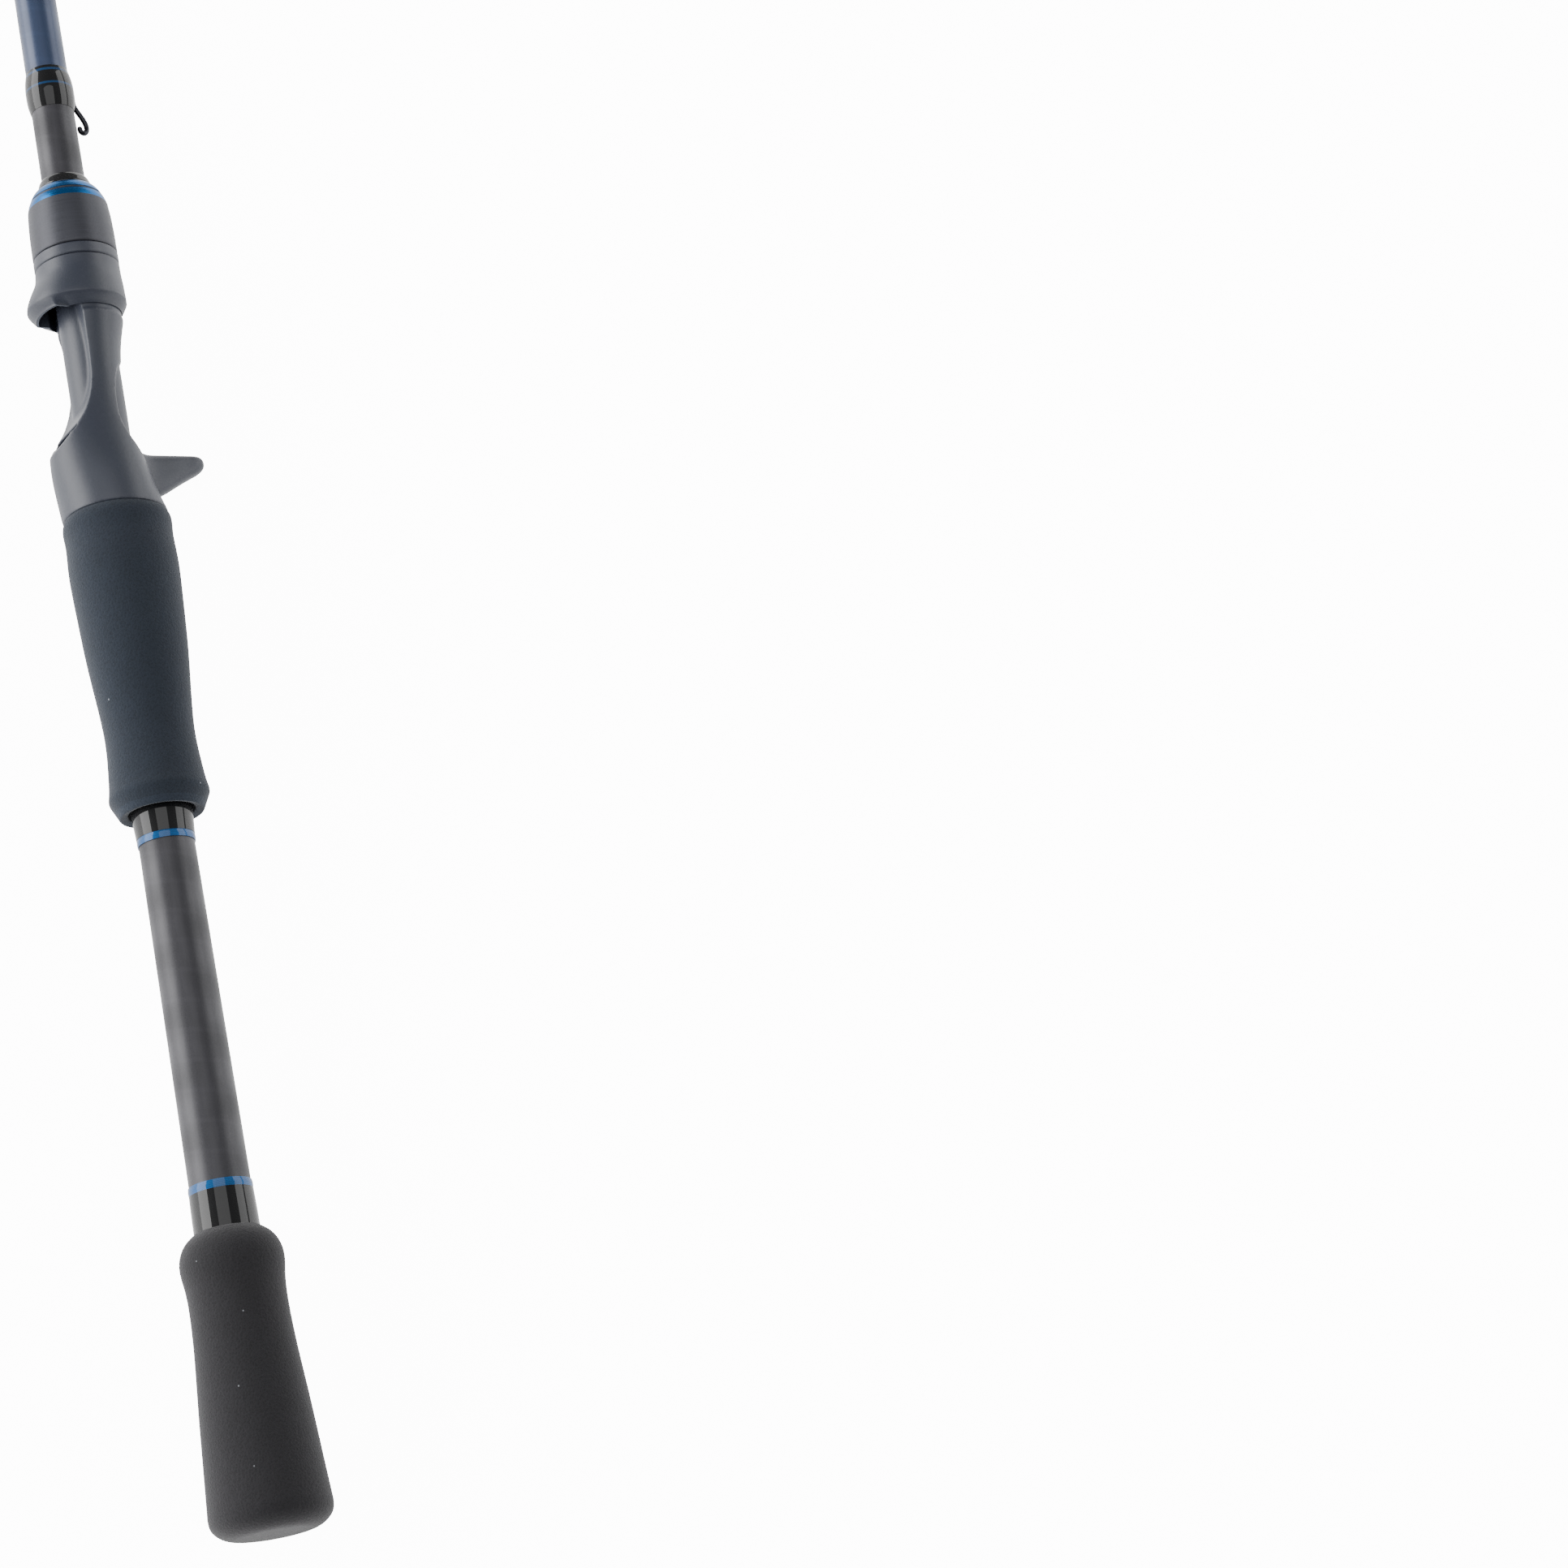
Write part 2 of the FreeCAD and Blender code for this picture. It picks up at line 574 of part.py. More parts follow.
def make_tip_top():
    """The tip-top: a closed tube over the blank's end with a ringed frame on the reel side."""
    tube_end, tube_r = BLANK[-1][0] + 0.6, 1.55
    tube_start = tube_end - 12.0
    y = TIP_RING_R + 1.6
    x = ROD_LENGTH - RING_WIDTH / 2
    half = RING_WIDTH * 0.4
    tube = rod_cylinder(tube_r, tube_start, tube_end)
    frame = tube.fuse(rod_cylinder(TIP_RING_R + FRAME_SECTION, x - half, x + half, y))
    for side in (-1, 1):
        turn = math.radians(55) * side
        grip_r = TIP_RING_R + FRAME_SECTION / 2 + 0.1
        high = Vector(x, y - grip_r * math.cos(turn), grip_r * math.sin(turn))
        frame = frame.fuse(strut(Vector(tube_end - 4.0, 1.1, 0.7 * side), high, 0.45))
    ring = make_ring(x, y, TIP_RING_R)
    bore = blank_room(tube_start - 1, BLANK[-1][0])
    frame = frame.cut(rod_cylinder(TIP_RING_R, x - 3, x + 3, y)).cut(bore).removeSplitter()
    wrap = make_wrap(tube_start - 3.0, tube_start, 0.45)
    return frame, ring, wrap


# ---------------------------------------------------------------- the whole rod
def build():
    save("blank", make_blank())
    save("butt_grip", make_butt_grip())
    save("butt_winding", make_butt_winding())
    save("blue_band_rear", make_band(*BUTT_BAND))
    save("blue_band_front", make_band(*REAR_BAND))
    save("rear_winding", make_rear_winding())
    save("rear_grip", make_rear_grip())
    save("reel_seat", make_seat())
    save("barrel_arbor", make_barrel_arbor())
    save("sliding_hood", make_hood())
    save("hood_cushion", make_hood_cushion())
    save("friction_ring", make_hood_ring())
    save("lock_nut", make_nut())
    save("nut_trim_ring", make_nut_trim())
    save("nut_collar", make_nut_collar())
    save("hook_keeper", make_keeper())
    save("keeper_wrap", make_keeper_wrap())
    for number, (x, ring_r, feet) in enumerate(GUIDES, 1):
        frame = make_guide_frame(x, ring_r, feet)
        save("guide_%d_frame" % number, frame)
        save("guide_%d_ring" % number, make_ring(x, ring_height(x, ring_r), ring_r))
        save("guide_%d_wraps" % number, make_guide_wraps(x, ring_r, feet))
    frame, ring, wrap = make_tip_top()
    save("tip_top_frame", frame)
    save("tip_top_ring", ring)
    save("tip_top_wrap", wrap)


build()
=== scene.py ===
import json
import math

import bpy
import numpy as np
from bpy.props import FloatProperty, FloatVectorProperty, IntProperty, PointerProperty
from bpy.types import Operator, Panel, PropertyGroup
from mathutils import Euler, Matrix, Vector


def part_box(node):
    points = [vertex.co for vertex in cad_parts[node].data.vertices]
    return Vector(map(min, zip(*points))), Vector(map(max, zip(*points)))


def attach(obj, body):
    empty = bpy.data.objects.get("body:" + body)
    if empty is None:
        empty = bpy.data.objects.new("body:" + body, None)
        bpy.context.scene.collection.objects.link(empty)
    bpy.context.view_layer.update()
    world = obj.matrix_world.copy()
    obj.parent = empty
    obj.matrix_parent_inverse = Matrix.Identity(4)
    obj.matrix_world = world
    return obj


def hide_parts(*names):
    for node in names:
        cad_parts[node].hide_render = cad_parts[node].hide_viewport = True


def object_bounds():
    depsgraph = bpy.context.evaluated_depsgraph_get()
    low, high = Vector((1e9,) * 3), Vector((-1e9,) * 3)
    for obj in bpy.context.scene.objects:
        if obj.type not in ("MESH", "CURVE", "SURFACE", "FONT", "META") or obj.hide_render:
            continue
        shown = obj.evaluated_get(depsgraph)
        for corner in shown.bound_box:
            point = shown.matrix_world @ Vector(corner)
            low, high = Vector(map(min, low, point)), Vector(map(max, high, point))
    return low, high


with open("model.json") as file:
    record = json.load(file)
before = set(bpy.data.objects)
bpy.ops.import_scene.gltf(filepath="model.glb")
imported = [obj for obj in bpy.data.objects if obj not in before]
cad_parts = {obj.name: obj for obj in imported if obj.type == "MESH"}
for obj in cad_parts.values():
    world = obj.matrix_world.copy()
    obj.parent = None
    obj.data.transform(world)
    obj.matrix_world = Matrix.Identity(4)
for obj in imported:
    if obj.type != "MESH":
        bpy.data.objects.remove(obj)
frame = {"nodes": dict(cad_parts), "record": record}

bl_info = {
    "name": "Casting rod",
    "version": (1, 0, 0),
    "blender": (4, 5, 0),
    "location": "View3D > Sidebar > Casting rod",
    "description": "A baitcasting rod with a trigger reel seat, split foam grips and ringed guides",
    "category": "Object",
}

MM = 0.001
CAD_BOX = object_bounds()
BODIES = frame["record"]["behaviour"]["bodies"]
BED = next(m for m in frame["record"]["mounts"] if m["name"] == "reel_foot_bed")
ROLL = math.atan2(BED["axis"][2], BED["axis"][1])  # the reel side's turn about the rod, from +Y
GLUE = 0.02                 # mm, the gap between the blank and what is on it
CREASE = math.radians(38)   # edges of new pieces bent more than this stay sharp
COPY_CREASE = math.radians(35)
WIRE_STEPS = 20             # faces round the hook keeper's wire
CAP_RINGS = 6               # rings in each of its round ends
WELD = 0.000004             # m, within which a CAD node's loose faces are joined


def reach(node):
    """Where a CAD node starts and ends along the rod, in millimetres."""
    low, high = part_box(node)
    return low.x / MM, high.x / MM


# ------------------------------------------------------------------ colours
def linear(code):
    """The linear colour of an sRGB hex code such as #1f6fb0."""
    parts = [int(code[i:i + 2], 16) / 255 for i in (1, 3, 5)]
    return tuple(p / 12.92 if p <= 0.04045 else ((p + 0.055) / 1.055) ** 2.4 for p in parts)


def hue(name, text, code):
    """A colour that a user can change."""
    return FloatVectorProperty(name=name, description=text, default=linear(code), subtype="COLOR",
                               size=3, min=0.0, max=1.0)


class RodColours(PropertyGroup):
    butt_foam: hue("Butt foam", "Charcoal of the butt grip's foam", "#1f1e21")
    rear_foam: hue("Rear foam", "Cooler charcoal of the grip behind the seat", "#1b222c")
    carbon: hue("Carbon", "Dark grey of the bare carbon under its satin lacquer", "#3e3d42")
    carbon_dark: hue("Carbon shade", "Darker tows of the carbon's crossed wrap", "#1c1b20")
    blue_lacquer: hue("Blue lacquer", "Muted blue over the fore part of the blank", "#323f5b")
    winding: hue("Winding", "Black thread under the epoxy", "#060608")
    blue_thread: hue("Blue thread", "Metallic blue thread of the accent bands", "#104c80")
    blue_metal: hue("Blue metal", "Blue anodised trim of the nut", "#0f568f")
    seat: hue("Seat", "Slate of the moulded reel seat", "#282c37")
    nut: hue("Nut", "Cool dark grey of the lock nut's coating", "#32333a")
    metal: hue("Guide metal", "Smoked steel of the guides and the hook keeper", "#333438")
    ceramic: hue("Ceramic", "Near-black ceramic of the rings", "#17181b")
    floor: hue("Floor", "Pale studio floor", "#f4f4f4")


class RodSizes(PropertyGroup):
    round_steps: IntProperty(name="Steps round", description="Faces round each turned piece",
                             default=144, min=24, max=512)
    pore: FloatProperty(name="Foam pore", description="Width of a pore of the foam, in millimetres",
                        default=0.6, min=0.1, max=3.0)
    thread: FloatProperty(name="Thread", description="Spacing of the winding thread, in millimetres",
                          default=0.3, min=0.1, max=2.0)
    wrap_pitch: FloatProperty(name="Carbon wrap", default=15.0, min=2.0, max=60.0,
                              description="Length of one turn of the crossed wrap, in millimetres")
    streak: FloatProperty(name="Turning streak",
                          description="Spacing of the nut's turned streaks, in millimetres",
                          default=0.35, min=0.05, max=3.0)
    voxel: FloatProperty(name="Seat grain", description="Size of the net that the seat is drawn with",
                         default=0.00036, min=0.0002, max=0.002, unit="LENGTH")
    lens: FloatProperty(name="Lens",
                        description="Focal length of the camera, in millimetres on a 36 mm frame",
                        default=88.85, min=10.0, max=300.0)


# ------------------------------------------------------------------ numpy surfaces
def spline(points, count):
    """Points along a smooth curve through the given ones.

    Each coordinate is a natural cubic spline against the length of the chords, solved for its second
    derivatives and read at even steps.
    """
    p = np.asarray(points, float)
    chords = np.sqrt((np.diff(p, axis=0) ** 2).sum(1))
    t = np.concatenate([[0.0], np.cumsum(chords)])
    n = len(p)
    slopes = np.diff(p, axis=0) / chords[:, None]
    system, right = np.eye(n), np.zeros_like(p)
    i = np.arange(1, n - 1)
    system[i, i - 1] = chords[:-1]
    system[i, i] = 2 * (chords[:-1] + chords[1:])
    system[i, i + 1] = chords[1:]
    right[1:-1] = 6 * np.diff(slopes, axis=0)
    bend = np.linalg.solve(system, right)
    s = np.linspace(0, t[-1], count)
    k = np.clip(np.searchsorted(t, s, "right") - 1, 0, n - 2)
    a = ((t[k + 1] - s) / chords[k])[:, None]
    b = 1 - a
    span = (chords[k] ** 2)[:, None] / 6
    return a * p[k] + b * p[k + 1] + ((a ** 3 - a) * bend[k] + (b ** 3 - b) * bend[k + 1]) * span


def line(a, b, count=2):
    """Evenly spaced points on the straight line from a to b."""
    return np.linspace(a, b, count)


def joined(*runs):
    """Runs of points end to end, without the point that two runs share."""
    kept = [runs[0]] + [run[1:] if np.allclose(run[0], before[-1]) else run
                        for before, run in zip(runs, runs[1:])]
    return np.concatenate(kept)


def rolled(x, reelward, across):
    """Place points given along the rod, towards the reel side and across it, in mm, as the rod lies.

    The two cross directions are turned about the rod's axis by ROLL.
    """
    y = reelward * math.cos(ROLL) - across * math.sin(ROLL)
    z = reelward * math.sin(ROLL) + across * math.cos(ROLL)
    return np.stack([x, y, z], axis=-1) * MM


def grid_faces(rows, columns, loop):
    """Corner numbers of the squares of a grid whose columns close on themselves, and rows too if loop."""
    last = rows if loop else rows - 1
    i, j = np.meshgrid(np.arange(last), np.arange(columns), indexing="ij")
    across, down = (j + 1) % columns, (i + 1) % rows
    return np.stack([i * columns + j, down * columns + j, down * columns + across, i * columns + across],
                    axis=-1).reshape(-1, 4)


def outward(points, faces):
    """The faces, turned over if the volume that they shut in comes out negative."""
    a, b, c = (points[faces[:, k]] for k in (0, 1, 2))
    volume = np.einsum("ij,ij->", a, np.cross(b, c))
    if faces.shape[1] == 4:
        volume += np.einsum("ij,ij->", a, np.cross(c, points[faces[:, 3]]))
    return faces if volume > 0 else faces[:, ::-1]


def capped(points, rows, steps, tips):
    """A grid of rings closed by a fan of triangles at each end, whose middle points are the two tips."""
    squares = grid_faces(rows, steps, False)
    j = np.arange(steps)
    k = (j + 1) % steps
    low = (rows - 1) * steps
    first = len(points)
    start_fan = np.stack([np.full(steps, first), j, k], -1)
    end_fan = np.stack([np.full(steps, first + 1), low + k, low + j], -1)
    points = np.concatenate([points, tips])
    triangles = np.concatenate([squares[:, [0, 1, 2]], squares[:, [0, 2, 3]], start_fan, end_fan])
    return points, outward(points, triangles)


def piece(name, points, faces, materials, body, nodes, choice=None):
    """Put a mesh into the scene as a finished piece that stands for some CAD nodes."""
    mesh = bpy.data.meshes.new(name)
    mesh.from_pydata(points.reshape(-1, 3).tolist(), [], faces.tolist())
    obj = bpy.data.objects.new(name, mesh)
    bpy.context.scene.collection.objects.link(obj)
    mesh.shade_smooth()
    mesh.set_sharp_from_angle(angle=CREASE)
    for material in materials:
        mesh.materials.append(material)
    if choice is not None:
        mesh.polygons.foreach_set("material_index", choice.astype(np.int32))
    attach(obj, body)
    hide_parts(*nodes)
    return obj


def turned(name, profile, materials, body, nodes, poles=False, zone=None):
    """A profile of (x, radius) points turned about the rod's axis.

    Point (i, j) is at x_i, and at radius r_i in the direction of the angle 2 pi j / steps. With poles
    the profile starts and ends on the axis, where a fan of triangles closes it; otherwise it is a loop.
    """
    steps = bpy.context.scene.rod_sizes.round_steps
    turn = np.arange(steps) * 2 * math.pi / steps
    inner = profile[1:-1] if poles else profile
    x, r = inner[:, 0, None], inner[:, 1, None]
    points = rolled(x + 0 * turn, r * np.cos(turn), r * np.sin(turn)).reshape(-1, 3)
    choice = None
    if poles:
        ends = rolled(profile[[0, -1], 0], np.zeros(2), np.zeros(2))
        points, faces = capped(points, len(inner), steps, ends)
    else:
        faces = outward(points, grid_faces(len(inner), steps, True))
        if zone is not None:
            choice = zone(points[faces].mean(1)[:, 0] / MM)
    return piece(name, points, faces, materials, body, nodes, choice)


def tube(name, path, radius, materials, body, nodes):
    """A round wire along a path of (x, reelward) points in the rod's own middle plane, with round ends.

    Each ring is the path's normal and the across direction, times the radius, which shrinks as a
    quarter circle over the first and last CAP_RINGS rings.
    """
    p = np.asarray(path, float)
    along = np.gradient(p, axis=0)
    along /= np.linalg.norm(along, axis=1)[:, None]
    normal = np.stack([-along[:, 1], along[:, 0]], -1)
    cap = np.linspace(0.12, math.pi / 2, CAP_RINGS)
    lead = p[0] - along[0] * radius * np.cos(cap)[:, None]
    tail = p[-1] + along[-1] * radius * np.cos(cap[::-1])[:, None]
    rows = np.concatenate([lead, p, tail])
    width = np.concatenate([np.sin(cap), np.ones(len(p)), np.sin(cap[::-1])]) * radius
    normals = np.concatenate([np.repeat(normal[:1], CAP_RINGS, 0), normal,
                              np.repeat(normal[-1:], CAP_RINGS, 0)])
    steps = WIRE_STEPS
    turn = np.arange(steps) * 2 * math.pi / steps
    offset = width[:, None] * np.cos(turn)
    x = rows[:, 0, None] + normals[:, 0, None] * offset
    a = rows[:, 1, None] + normals[:, 1, None] * offset
    points = rolled(x, a, width[:, None] * np.sin(turn)).reshape(-1, 3)
    tips = np.stack([points[:steps].mean(0), points[-steps:].mean(0)])
    points, faces = capped(points, len(rows), steps, tips)
    return piece(name, points, faces, materials, body, nodes)


# ------------------------------------------------------------------ finishes
NOISE = "ShaderNodeTexNoise"
CELLS = "ShaderNodeTexVoronoi"
MATH = "ShaderNodeMath"
RANGE = "ShaderNodeMapRange"
MIX = "ShaderNodeMix"      # for colours: factor is input 0, the colours are 6 and 7, the result is output 2
BUMP = "ShaderNodeBump"


def give(tree, socket, value):
    """Link another node's output to a socket, or set a plain value there; a colour gets its alpha."""
    if isinstance(value, bpy.types.NodeSocket):
        tree.links.new(value, socket)
    elif socket.type == "RGBA" and len(value) == 3:
        socket.default_value = (*value, 1.0)
    else:
        socket.default_value = value


def add(tree, kind, inputs=None, **settings):
    """Add one shader node with its settings; its inputs are plain values or other nodes' outputs."""
    made = tree.nodes.new(kind)
    for key, value in settings.items():
        setattr(made, key, value)
    for socket, value in (inputs or {}).items():
        give(tree, made.inputs[socket], value)
    return made


def set_shader(tree, shader, **values):
    """Set or link the surface shader's sockets, which are named with underscores for spaces."""
    for key, value in values.items():
        give(tree, shader.inputs[key.replace("_", " ")], value)


def blank_material(name):
    """A new material with its node tree cleared of all but a surface shader and the output."""
    material = bpy.data.materials.new(name)
    material.use_nodes = True
    tree = material.node_tree
    tree.nodes.clear()
    shader = add(tree, "ShaderNodeBsdfPrincipled")
    add(tree, "ShaderNodeOutputMaterial", {"Surface": shader.outputs[0]})
    place = add(tree, "ShaderNodeTexCoord").outputs["Object"]
    return material, tree, shader, place


def scaled(colour, factor):
    """A colour made darker or lighter."""
    return tuple(min(1.0, c * factor) for c in colour)


def eva_foam(name, colour):
    """EVA foam, cut and sanded: matte, with fine closed pores and a few pale specks of dust."""
    pore = bpy.context.scene.rod_sizes.pore * MM
    material, tree, shader, place = blank_material(name)
    # patches 5 mm across, where the foam took the sanding a little differently
    patch = add(tree, NOISE, {"Vector": place, "Scale": 1 / (5 * MM), "Detail": 3.0}).outputs["Fac"]
    cells = add(tree, CELLS, {"Vector": place, "Scale": 1 / pore}).outputs["Distance"]
    fine = add(tree, NOISE, {"Vector": place, "Scale": 2.2 / pore, "Detail": 2.0}).outputs["Fac"]
    base = add(tree, MIX, {0: patch, 6: scaled(colour, 0.86), 7: scaled(colour, 1.14)}, data_type="RGBA")
    # the pits of the pores are painted darker than the foam between them: painted shade in the pits, while the
    # patches and the noise stay real tone
    pores = add(tree, RANGE, {"Value": cells, "From Min": 0.12, "From Max": 0.5,
                              "To Min": 0.72, "To Max": 1.08}).outputs[0]
    toned = add(tree, "ShaderNodeVectorMath", {0: base.outputs[2], "Scale": pores}, operation="SCALE")
    # one speck about 0.4 mm wide to each 8 mm cell that the surface happens to cut
    specks = add(tree, CELLS, {"Vector": place, "Scale": 1 / (8 * MM)}).outputs["Distance"]
    speck = add(tree, RANGE, {"Value": specks, "From Min": 0.022, "From Max": 0.034,
                              "To Min": 0.55, "To Max": 0.0})
    dusty = add(tree, MIX, {0: speck.outputs[0], 6: toned.outputs[0], 7: linear("#9a9da3")}, data_type="RGBA")
    height = add(tree, MATH, {0: cells, 1: fine}, operation="ADD").outputs[0]
    bump = add(tree, BUMP, {"Height": height, "Strength": 0.55, "Distance": 0.12 * MM})
    set_shader(tree, shader, Base_Color=dusty.outputs[2], Normal=bump.outputs[0], Roughness=0.9,
               Specular_IOR_Level=0.3, Sheen_Weight=0.12, Sheen_Roughness=0.5)
    return material


def lacquered_carbon(name, colour, shade, metallic, roughness, coat, depth):
    """Carbon fibre tube, wrapped with tape while it set, sanded and lacquered.

    The crossed tows show as faint lozenges: the sum of two helices of opposite hand, one turn to each
    pitch. The lacquer gives one soft broad reflection.
    """
    pitch = bpy.context.scene.rod_sizes.wrap_pitch * MM
    material, tree, shader, place = blank_material(name)
    split = add(tree, "ShaderNodeSeparateXYZ", {0: place}).outputs
    turn = add(tree, MATH, {0: split["Z"], 1: split["Y"]}, operation="ARCTAN2").outputs[0]
    along = add(tree, MATH, {0: split["X"], 1: 2 * math.pi / pitch}, operation="MULTIPLY").outputs[0]
    hands = []
    for side in (1.0, -1.0):
        angle = add(tree, MATH, {0: turn, 1: side, 2: along}, operation="MULTIPLY_ADD").outputs[0]
        hands.append(add(tree, MATH, {0: angle}, operation="SINE").outputs[0])
    crossed = add(tree, MATH, {0: hands[0], 1: hands[1]}, operation="ADD").outputs[0]
    lozenge = add(tree, RANGE, {"Value": crossed, "From Min": -1.7, "From Max": 1.7}).outputs[0]
    # tows drawn out along the tube: 0.8 mm wide and ten times as long
    drawn = add(tree, "ShaderNodeMapping", {"Vector": place, "Scale": (0.1, 1.0, 1.0)}).outputs[0]
    tows = add(tree, NOISE, {"Vector": drawn, "Scale": 1 / (0.8 * MM), "Detail": 3.0}).outputs["Fac"]
    cloud = add(tree, NOISE, {"Vector": place, "Scale": 1 / (6 * MM), "Detail": 2.0}).outputs["Fac"]
    broad = add(tree, MATH, {0: lozenge, 1: cloud}, operation="ADD").outputs[0]
    thin = add(tree, MATH, {0: tows, 1: 0.35}, operation="MULTIPLY").outputs[0]
    blend = add(tree, MATH, {0: broad, 1: 0.5 * depth, 2: thin}, operation="MULTIPLY_ADD").outputs[0]
    woven = add(tree, MIX, {0: blend, 6: colour, 7: shade}, data_type="RGBA").outputs[2]
    # the tape's edge leaves a faint line at each half pitch, worn away here and there
    helix = add(tree, MATH, {0: split["X"], 1: 4 * math.pi / pitch, 2: turn},
                operation="MULTIPLY_ADD").outputs[0]
    wave = add(tree, MATH, {0: helix}, operation="SINE").outputs[0]
    edge = add(tree, RANGE, {"Value": wave, "From Min": 0.8, "From Max": 1.0, "To Max": 0.1}).outputs[0]
    worn = add(tree, MATH, {0: edge, 1: cloud}, operation="MULTIPLY").outputs[0]
    lined = add(tree, MIX, {0: worn, 6: woven, 7: scaled(colour, 2.0)}, data_type="RGBA")
    rough = add(tree, RANGE, {"Value": lozenge, "To Min": roughness - 0.03, "To Max": roughness + 0.05})
    bump = add(tree, BUMP, {"Height": lozenge, "Strength": 0.25, "Distance": 0.05 * MM})
    set_shader(tree, shader, Base_Color=lined.outputs[2], Roughness=rough.outputs[0], Normal=bump.outputs[0],
               Metallic=metallic, Coat_Weight=coat, Coat_Roughness=0.12)
    return material


def epoxy_winding(name, colour, metallic=0.0):
    """Nylon thread wound on the blank under clear epoxy: mirror gloss over faint close ridges."""
    spacing = bpy.context.scene.rod_sizes.thread * MM
    material, tree, shader, place = blank_material(name)
    along = add(tree, "ShaderNodeSeparateXYZ", {0: place}).outputs["X"]
    phase = add(tree, MATH, {0: along, 1: 2 * math.pi / spacing}, operation="MULTIPLY").outputs[0]
    ridge = add(tree, MATH, {0: phase}, operation="SINE").outputs[0]
    # each thread's crest is painted lighter and the groove between threads darker, a painted highlight; the
    # noise makes it uneven, as real thread is
    shine = add(tree, RANGE, {"Value": ridge, "From Min": -1.0}).outputs[0]
    uneven = add(tree, NOISE, {"Vector": place, "Scale": 1 / (2.5 * MM), "Detail": 2.0}).outputs["Fac"]
    tone = add(tree, MATH, {0: shine, 1: uneven}, operation="MULTIPLY").outputs[0]
    base = add(tree, MIX, {0: tone, 6: scaled(colour, 0.7), 7: scaled(colour, 1.7)}, data_type="RGBA")
    bump = add(tree, BUMP, {"Height": ridge, "Strength": 0.3, "Distance": 0.03 * MM})
    set_shader(tree, shader, Base_Color=base.outputs[2], Normal=bump.outputs[0], Metallic=metallic,
               Roughness=0.6, Specular_IOR_Level=0.1, Coat_Weight=0.75, Coat_Roughness=0.03, Coat_IOR=1.5)
    return material


def moulded_nylon(name, colour):
    """Glass-filled nylon from a mould with a fine spark-eroded texture: satin, with a soft broad sheen."""
    material, tree, shader, place = blank_material(name)
    # the mould's texture is 0.1 mm; it is drawn 0.3 mm wide, or it would not show
    grain = add(tree, NOISE, {"Vector": place, "Scale": 1 / (0.3 * MM), "Detail": 3.0}).outputs["Fac"]
    flow = add(tree, NOISE, {"Vector": place, "Scale": 1 / (9 * MM), "Detail": 2.0}).outputs["Fac"]
    both = add(tree, MATH, {0: grain, 1: flow}, operation="ADD").outputs[0]
    tone = add(tree, MATH, {0: both, 1: 0.5}, operation="MULTIPLY").outputs[0]
    base = add(tree, MIX, {0: tone, 6: scaled(colour, 0.82), 7: scaled(colour, 1.18)}, data_type="RGBA")
    rough = add(tree, RANGE, {"Value": grain, "To Min": 0.36, "To Max": 0.5})
    bump = add(tree, BUMP, {"Height": grain, "Strength": 0.35, "Distance": 0.04 * MM})
    set_shader(tree, shader, Base_Color=base.outputs[2], Roughness=rough.outputs[0], Normal=bump.outputs[0],
               IOR=1.53)
    return material


def turned_metal(name, colour, metallic, roughness, depth, width=None):
    """Aluminium turned on a lathe, then anodised or coated: fine rings round it catch the light."""
    spacing = (width or bpy.context.scene.rod_sizes.streak) * MM
    material, tree, shader, place = blank_material(name)
    # stretched so that the noise changes along the rod and hardly at all round it
    drawn = add(tree, "ShaderNodeMapping", {"Vector": place, "Scale": (1.0, 0.02, 0.02)}).outputs[0]
    rings = add(tree, NOISE, {"Vector": drawn, "Scale": 1 / spacing, "Detail": 4.0,
                              "Roughness": 0.7}).outputs["Fac"]
    cloud = add(tree, NOISE, {"Vector": place, "Scale": 1 / (4 * MM), "Detail": 2.0}).outputs["Fac"]
    streak = add(tree, RANGE, {"Value": rings, "From Min": 0.3, "From Max": 0.7}).outputs[0]
    patchy = add(tree, MATH, {0: cloud, 1: 0.25}, operation="MULTIPLY").outputs[0]
    tone = add(tree, MATH, {0: streak, 1: 0.75, 2: patchy}, operation="MULTIPLY_ADD").outputs[0]
    base = add(tree, MIX, {0: tone, 6: scaled(colour, 1 - depth), 7: scaled(colour, 1 + depth)},
               data_type="RGBA")
    rough = add(tree, RANGE, {"Value": streak, "To Min": roughness, "To Max": roughness + 0.1})
    bump = add(tree, BUMP, {"Height": rings, "Strength": 0.4, "Distance": 0.02 * MM})
    set_shader(tree, shader, Base_Color=base.outputs[2], Roughness=rough.outputs[0], Normal=bump.outputs[0],
               Metallic=metallic)
    return material


def plain_grain(name, colour, metallic, roughness, grain, depth):
    """A hard part with a fine even grain, such as polished steel, ceramic or rubber."""
    material, tree, shader, place = blank_material(name)
    noise = add(tree, NOISE, {"Vector": place, "Scale": 1 / (grain * MM), "Detail": 3.0}).outputs["Fac"]
    base = add(tree, MIX, {0: noise, 6: scaled(colour, 1 - depth), 7: scaled(colour, 1 + depth)},
               data_type="RGBA")
    rough = add(tree, RANGE, {"Value": noise, "To Min": roughness * 0.8, "To Max": roughness * 1.2})
    bump = add(tree, BUMP, {"Height": noise, "Strength": 0.2, "Distance": 0.02 * MM})
    set_shader(tree, shader, Base_Color=base.outputs[2], Roughness=rough.outputs[0], Normal=bump.outputs[0],
               Metallic=metallic)
    return material


FINISHES = {}


